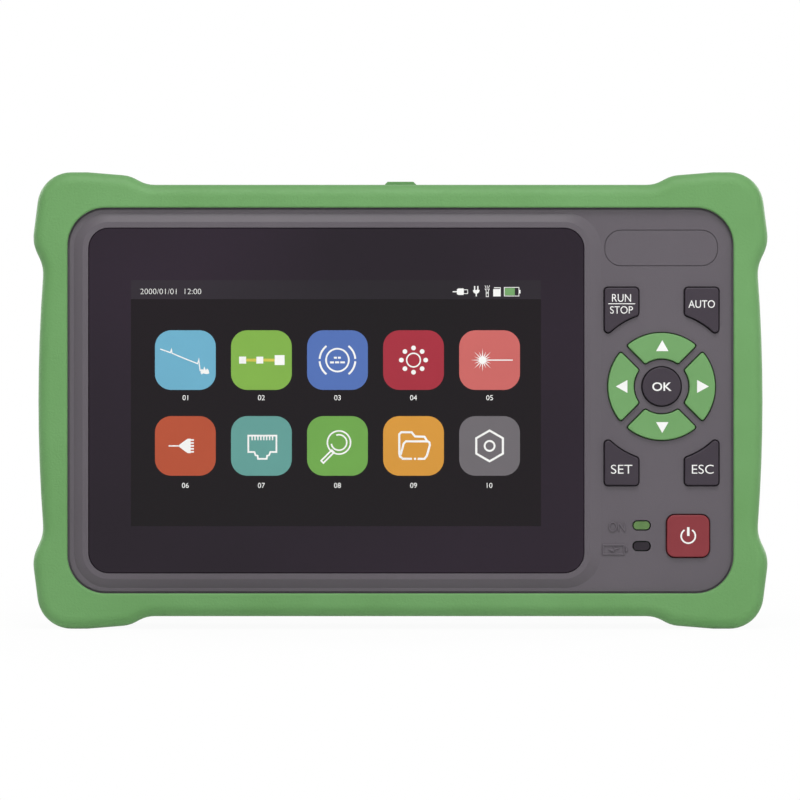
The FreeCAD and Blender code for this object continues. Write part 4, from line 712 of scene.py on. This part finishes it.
statusSigns = [
    # a plain plug
    (15.85, 88.85, [("line", 0.3, [(-2.1, 0), (-0.9, 0)]),
                    ("fill", [(-1.0, -0.62), (-0.6, -0.85), (0.75, -0.85), (0.75, 0.85), (-0.6, 0.85),
                              (-1.0, 0.62)]),
                    ("loop", 0.17, [(0.75, -0.5), (1.85, -0.5), (1.85, 0.5), (0.75, 0.5)])]),
    # a mains plug
    (19.95, 89.0, [("fill", [(-0.9, 0.3), (-0.75, -0.3), (-0.15, -0.75), (-0.15, -1.4), (0.15, -1.4),
                             (0.15, -0.75), (0.75, -0.3), (0.9, 0.3)]),
                   ("line", 0.32, [(-0.42, 0.2), (-0.42, 1.35)]),
                   ("line", 0.32, [(0.42, 0.2), (0.42, 1.35)])]),
    # a torch
    (22.85, 89.0, [("loop", 0.16, [(-0.28, -1.45), (0.28, -1.45), (0.28, 0.1), (0.55, 0.55), (-0.55, 0.55),
                                   (-0.28, 0.1)]),
                   ("line", 0.15, [(-0.35, 0.85), (-0.6, 1.5)]), ("line", 0.15, [(0, 0.85), (0, 1.5)]),
                   ("line", 0.15, [(0.35, 0.85), (0.6, 1.5)]), ("disc", 0, -0.45, 0.18)]),
    # a memory card
    (25.4, 88.85, [("fill", [(-0.98, -1.25), (0.98, -1.25), (0.98, 0.7), (-0.98, 0.7)]),
                   ("line", 0.2, [(-0.75, 1.05), (0.98, 1.05)]), ("line", 0.2, [(0.88, 0.6), (0.88, 1.1)])]),
    # a battery
    (29.3, 88.85, [("loop", 0.17, [(-1.95, -1.13), (1.9, -1.13), (1.9, 1.13), (-1.95, 1.13)]),
                   ("fill", [(1.95, -0.45), (2.3, -0.45), (2.3, 0.45), (1.95, 0.45)])]),
]
chargeLevel = (28.75, 88.85, [("fill", [(-1.3, -0.95), (1.35, -0.95), (1.35, 0.95), (-1.3, 0.95)])])
clock = ("2000/01/01  12:00", -60.5, 88.92, 16.0, 1.5, -0.035)
inkThick = {"screen": 0.02, "link": 0.01, "keys": 0.03}


def makeScreenPicture(tiles, area):
    face = area["face"]
    front = face - tiles["thick"]
    centres = []
    for row in (1, 0):
        for column in range(tiles["columns"]):
            centres.append((tiles["middle"][0] + (column - (tiles["columns"] - 1) / 2) * tiles["across"],
                            tiles["middle"][1] + (row - 0.5) * tiles["up"]))
    ink = inkThick["screen"]
    linked = centres[signLinks["tile"]]
    layers = [
        ("screen_signs", [(x, z, shapes) for (x, z), shapes in zip(centres, signs)], front, ink, printWhite),
        ("screen_status", statusSigns, face, ink, printWhite),
        ("screen_charge", [chargeLevel], face, ink, keyGreen),
        ("screen_link", [(*linked, signLinks["shapes"])], front, inkThick["link"], displayAmber)]
    for name, marks, back, thick, finish in layers:
        newPiece(name, marksMesh(name, marks, back - thick, back), [finish], caseBody)
    words = [(f"{number:02d}", x, z - tileNumbers["drop"][z > tiles["middle"][1]], 0, tileNumbers["height"],
              tileNumbers["weight"]) for number, (x, z) in enumerate(centres, 1)]
    mesh = textMesh("screen_numbers", words + [clock], face, ink)
    newPiece("screen_numbers", mesh, [printWhite], caseBody)


makeScreenPicture(screenTiles, screen)
print("screen drawn")

# Key legends: printed on the crowns of the keys, whose place in depth is in mm
keyCrown = -22.8
keyWords = {
    "key_run_stop": [("RUN", 58.2, 87.2, 5.0, 2.05, -0.01), ("STOP", 58.2, 84.05, 6.0, 1.95, -0.01)],
    "key_auto": [("AUTO", 79.3, 85.6, 6.95, 2.0, 0.0)],
    "key_set": [("SET", 58.24, 42.1, 5.65, 2.4, -0.02)],
    "key_esc": [("ESC", 79.6, 42.1, 5.75, 2.4, -0.02)],
    "key_ok": [("OK", 68.85, 63.85, 5.1, 2.2, 0.04)],
}
keySigns = {
    "key_up": [("fill", [(67.3, 73.2), (70.55, 73.2), (68.93, 76.1)])],
    "key_down": [("fill", [(67.3, 54.5), (68.93, 51.65), (70.55, 54.5)])],
    "key_left": [("fill", [(59.75, 65.6), (56.7, 63.9), (59.75, 62.2)])],
    "key_right": [("fill", [(78.1, 62.2), (81.2, 63.9), (78.1, 65.6)])],
    "key_run_stop": [("line", 0.22, [(54.7, 85.68), (61.8, 85.68)])],
    "key_power": [("arc", 0.42, 75.78, 24.5, 1.87, 122, 418),
                  ("line", 0.65, [(75.78, 24.53), (75.78, 26.85)])],
}


def makeLegends():
    ink = inkThick["keys"]
    for key, words in keyWords.items():
        mesh = textMesh(key + "_letters", words, keyCrown, ink)
        newPiece(key + "_letters", mesh, [printWhite], key + "_body")
    for key, shapes in keySigns.items():
        mesh = marksMesh(key + "_sign", [(0, 0, shapes)], keyCrown - ink, keyCrown)
        newPiece(key + "_sign", mesh, [printWhite], key + "_body")


makeLegends()

# Raised grey marks beside the lamps, moulded in the case: ON, and a battery for charging
lampMarks = {"face": -21.8, "rise": 0.35, "slope": 0.14, "sharp": 60,
             "on": ("ON", 57.03, 26.88, 4.5, 2.6, 0.04), "battery": (56.3, 20.9), "rimWidth": 0.5,
             "rim": [(-2.9, -1.2), (2.6, -1.2), (2.6, 1.2), (-2.9, 1.2)],
             "pole": [(2.95, -0.6), (3.5, -0.6), (3.5, 0.6), (2.95, 0.6)],
             "bolt": [(-1.6, -0.2), (0.0, -0.75), (0.05, -0.2), (1.4, 0.2), (-0.2, 0.75), (-0.25, 0.2)]}


def batteryMesh(name, marks):
    # raised outlines whose front edges are bevelled, so that they catch the light
    x, z = marks["battery"]
    rim, pole, bolt = [[(x + a, z + b) for a, b in marks[part]] for part in ("rim", "pole", "bolt")]
    face, front = marks["face"], marks["face"] - marks["rise"]
    work = bmesh.new()
    addBand(work, *bandEdges(rim, marks["rimWidth"], True), True, front, face)
    addPrism(work, pole, front, face)
    addPrism(work, bolt, front, face)
    bmesh.ops.recalc_face_normals(work, faces=work.faces)
    edges = [edge for edge in work.edges if edge.calc_face_angle(0) > math.radians(marks["sharp"])
             and all(abs(corner.co.y - front * mm) < weldGap for corner in edge.verts)]
    bmesh.ops.bevel(work, geom=edges, offset=marks["slope"] * mm, segments=1, affect="EDGES")
    mesh = bpy.data.meshes.new(name)
    work.to_mesh(mesh)
    work.free()
    return mesh


def makeLampMarks(marks):
    word = textMesh("lamp_on_mark", [marks["on"]], marks["face"], marks["rise"], marks["slope"])
    for mesh in (word, batteryMesh("lamp_charge_mark", marks)):
        newPiece(mesh.name, mesh, [caseGrey], caseBody)


makeLampMarks(lampMarks)
print("legends printed")

# Screws: heads with a cross recess, in place of the plain CAD ones
screwSets = {
    "case_screws": {"head": 2.75, "headThick": 1.8, "shank": 1.5, "shankLong": 20.0, "drive": 2.9,
                    "slot": 0.75, "sink": 1.1, "seat": 9.8,
                    "spots": [(sx * 76.0, sz * 47.3 + 60.2) for sx in (-1, 1) for sz in (-1, 1)]},
    "battery_cover_screws": {"head": 1.7, "headThick": 1.1, "shank": 0.9, "shankLong": 1.6, "drive": 1.9,
                             "slot": 0.5, "sink": 0.7, "seat": 16.7,
                             "spots": [(sx * 30.5, 58.2) for sx in (-1, 1)]},
}
screwSizes = {"Head Radius": "head", "Head Thick": "headThick", "Shank Radius": "shank",
              "Shank Long": "shankLong", "Drive Long": "drive", "Drive Wide": "slot", "Drive Deep": "sink"}
screwSides = {"head": 36, "shank": 24}


def screwTree():
    sockets = {label: "NodeSocketFloat" for label in screwSizes}
    tree, given = newTree("crossHeadScrews", {**sockets, "Finish": "NodeSocketMaterial"})

    def raised(geometry, size, share):
        # moves a part up by a share of one of the sizes
        height = addNode(tree, "ShaderNodeMath", {"operation": "MULTIPLY"}, {0: size, 1: share})
        shift = addNode(tree, "ShaderNodeCombineXYZ", inputs={"Z": height.outputs[0]})
        return addNode(tree, "GeometryNodeTransform", inputs={
            "Geometry": geometry, "Translation": shift.outputs["Vector"]}).outputs["Geometry"]

    head = addNode(tree, "GeometryNodeMeshCylinder", inputs={
        "Vertices": screwSides["head"], "Radius": given["Head Radius"], "Depth": given["Head Thick"]})
    recess = addNode(tree, "GeometryNodeMeshBoolean", {"operation": "DIFFERENCE", "solver": "MANIFOLD"}, {
        "Mesh 1": raised(head.outputs["Mesh"], given["Head Thick"], 0.5)})
    deep = addNode(tree, "ShaderNodeMath", {"operation": "MULTIPLY"}, {0: given["Drive Deep"], 1: 2.0})
    for long, wide in (("Drive Long", "Drive Wide"), ("Drive Wide", "Drive Long")):
        size = addNode(tree, "ShaderNodeCombineXYZ", inputs={
            "X": given[long], "Y": given[wide], "Z": deep.outputs[0]})
        bar = addNode(tree, "GeometryNodeMeshCube", inputs={"Size": size.outputs["Vector"]})
        tree.links.new(raised(bar.outputs["Mesh"], given["Head Thick"], 1.0), recess.inputs["Mesh 2"])
    shank = addNode(tree, "GeometryNodeMeshCylinder", inputs={
        "Vertices": screwSides["shank"], "Radius": given["Shank Radius"], "Depth": given["Shank Long"]})
    shankDown = raised(shank.outputs["Mesh"], given["Shank Long"], -0.5)
    whole = addNode(tree, "GeometryNodeJoinGeometry")
    for piece in (sealed(tree, (recess,)), shankDown):
        tree.links.new(piece, whole.inputs["Geometry"])
    spread = addNode(tree, "GeometryNodeInstanceOnPoints", inputs={
        "Points": given["Geometry"], "Instance": whole.outputs["Geometry"],
        "Rotation": (-math.pi / 2, 0, 0)})
    endTree(tree, spread.outputs["Instances"], given["Finish"])
    return tree


def makeScrews(sets):
    tree = screwTree()
    for name, sizes in sets.items():
        values = {label: sizes[size] * mm for label, size in screwSizes.items()}
        points = [(x, sizes["seat"], z) for x, z in sizes["spots"]]
        mesh = grown(name + "_dressed", tree, {**values, "Finish": steelZinc}, points)
        piece = newPiece(name + "_dressed", mesh, [], caseBody)
        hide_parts(name)


makeScrews(screwSets)

# Spring contacts in the copper jacks: eight gilt wires that lean into the mouth; path is depth and height
jackWires = {"pitch": 1.02, "wide": 0.42, "thick": 0.25, "count": 8, "jacks": (18.0, 38.0),
             "path": [(6.75, 104.6), (6.3, 102.4), (2.6, 96.0)]}


def wireTree():
    tree, given = newTree("jackContacts", {
        "Count": "NodeSocketInt", "Pitch": "NodeSocketFloat", "Wide": "NodeSocketFloat",
        "Thick": "NodeSocketFloat", "Start": "NodeSocketVector", "Bend": "NodeSocketVector",
        "End": "NodeSocketVector", "Finish": "NodeSocketMaterial"})
    section = addNode(tree, "GeometryNodeCurvePrimitiveQuadrilateral", inputs={
        "Width": given["Wide"], "Height": given["Thick"]})
    wire = addNode(tree, "GeometryNodeJoinGeometry")
    for start, end in (("Start", "Bend"), ("Bend", "End")):
        part = addNode(tree, "GeometryNodeCurvePrimitiveLine", inputs={
            "Start": given[start], "End": given[end]})
        swept = addNode(tree, "GeometryNodeCurveToMesh", inputs={
            "Curve": part.outputs["Curve"], "Profile Curve": section.outputs["Curve"], "Fill Caps": True})
        tree.links.new(swept.outputs["Mesh"], wire.inputs["Geometry"])
    step = addNode(tree, "ShaderNodeCombineXYZ", inputs={"X": given["Pitch"]})
    row = addNode(tree, "GeometryNodeMeshLine", inputs={
        "Count": given["Count"], "Offset": step.outputs["Vector"]})
    copies = addNode(tree, "GeometryNodeInstanceOnPoints", inputs={
        "Points": row.outputs["Mesh"], "Instance": wire.outputs["Geometry"]})
    every = addNode(tree, "GeometryNodeRealizeInstances", inputs={"Geometry": copies.outputs["Instances"]})
    jacks = addNode(tree, "GeometryNodeInstanceOnPoints", inputs={
        "Points": given["Geometry"], "Instance": every.outputs["Geometry"]})
    endTree(tree, jacks.outputs["Instances"], given["Finish"])
    return tree


def makeJackWires(wires):
    labels = ("Start", "Bend", "End")
    ends = {label: (0, y * mm, z * mm) for label, (y, z) in zip(labels, wires["path"])}
    values = {"Count": wires["count"], "Pitch": wires["pitch"] * mm, "Wide": wires["wide"] * mm,
              "Thick": wires["thick"] * mm, "Finish": goldPlated, **ends}
    first = -wires["pitch"] * (wires["count"] - 1) / 2
    points = [(x + first, 0, 0) for x in wires["jacks"]]
    mesh = grown("jack_contacts", wireTree(), values, points)
    newPiece("jack_contacts", mesh, [], caseBody)


makeJackWires(jackWires)
print("screws and contacts made")

# Studio: a pale floor that fades to white, a broad lamp above, two lamps in front and two behind;
# each lamp is its place, its size across and its power
studio = {"floorSize": 3.0, "floorDrop": 0.0001, "floorColour": "F4F4F3", "floorRoughness": 0.9,
          "floorSpecular": 0.1, "fadeStart": 0.1, "fadeEnd": 0.45, "whiteNear": 0.95,
          "worldStrength": 0.32, "aim": (0, 0, 0.06),
          "lamps": {"lampAbove": ((0.0, -0.65, 1.05), 0.45, 7.2),
                    "lampLeft": ((-0.15, -1.25, 0.55), 0.6, 2.4),
                    "lampRight": ((0.85, -0.9, 0.35), 0.7, 2.5),
                    "lampBackLeft": ((-0.95, 0.95, 0.5), 0.7, 6.5),
                    "lampBackRight": ((0.95, 0.95, 0.5), 0.7, 6.5)}}


def floorFinish(plan):
    # White paper that fades into the backdrop, with the object's shadow kept faint on it
    material, tree, shader, place = startMaterial("paper roll white", {
        "Base Color": hexColour(plan["floorColour"]), "Roughness": plan["floorRoughness"],
        "Specular IOR Level": plan["floorSpecular"]})
    output = next(node for node in tree.nodes if node.bl_idname == "ShaderNodeOutputMaterial")
    distance = addNode(tree, "ShaderNodeVectorMath", {"operation": "LENGTH"}, {0: place})
    fade = addNode(tree, "ShaderNodeMapRange", inputs={
        "Value": distance.outputs["Value"], "From Min": plan["fadeStart"], "From Max": plan["fadeEnd"],
        "To Min": plan["whiteNear"], "To Max": 1.0})
    share = addNode(tree, "ShaderNodeMath", {"operation": "MULTIPLY"}, {
        0: shownRays(tree), 1: fade.outputs["Result"]})
    white = addNode(tree, "ShaderNodeEmission", inputs={"Color": (1, 1, 1, 1), "Strength": 1.0})
    mixed = addNode(tree, "ShaderNodeMixShader", inputs={
        0: share.outputs[0], 1: shader.outputs["BSDF"], 2: white.outputs["Emission"]})
    tree.links.new(mixed.outputs["Shader"], output.inputs["Surface"])
    return material


def makeStudio(plan):
    half, down = plan["floorSize"] / 2, -plan["floorDrop"]   # just clear of the boot's feet
    corners = [(-half, -half, down), (half, -half, down), (half, half, down), (-half, half, down)]
    mesh = bpy.data.meshes.new("studio_floor")
    mesh.from_pydata(corners, [], [(0, 1, 2, 3)])
    floor = bpy.data.objects.new("studio_floor", mesh)
    bpy.context.scene.collection.objects.link(floor)
    mesh.materials.append(floorFinish(plan))
    for name, (spot, size, power) in plan["lamps"].items():
        data = bpy.data.lights.new(name, "AREA")
        data.shape, data.size, data.energy = "DISK", size, power
        lamp = bpy.data.objects.new(name, data)
        lamp.location = spot
        lamp.rotation_euler = (Vector(plan["aim"]) - Vector(spot)).to_track_quat("-Z", "Y").to_euler()
        bpy.context.scene.collection.objects.link(lamp)
    world = bpy.data.worlds.new("studioWorld")
    bpy.context.scene.world = world
    world.use_nodes = True
    sky = world.node_tree
    sky.nodes.clear()
    level = addNode(sky, "ShaderNodeMapRange", inputs={
        "Value": shownRays(sky), "To Min": plan["worldStrength"], "To Max": 1.0})
    light = addNode(sky, "ShaderNodeBackground", inputs={
        "Color": (1, 1, 1, 1), "Strength": level.outputs["Result"]})
    addNode(sky, "ShaderNodeOutputWorld", inputs={"Surface": light.outputs["Background"]})
    bpy.context.scene.view_settings.view_transform = "Standard"


makeStudio(studio)
print("studio lit")
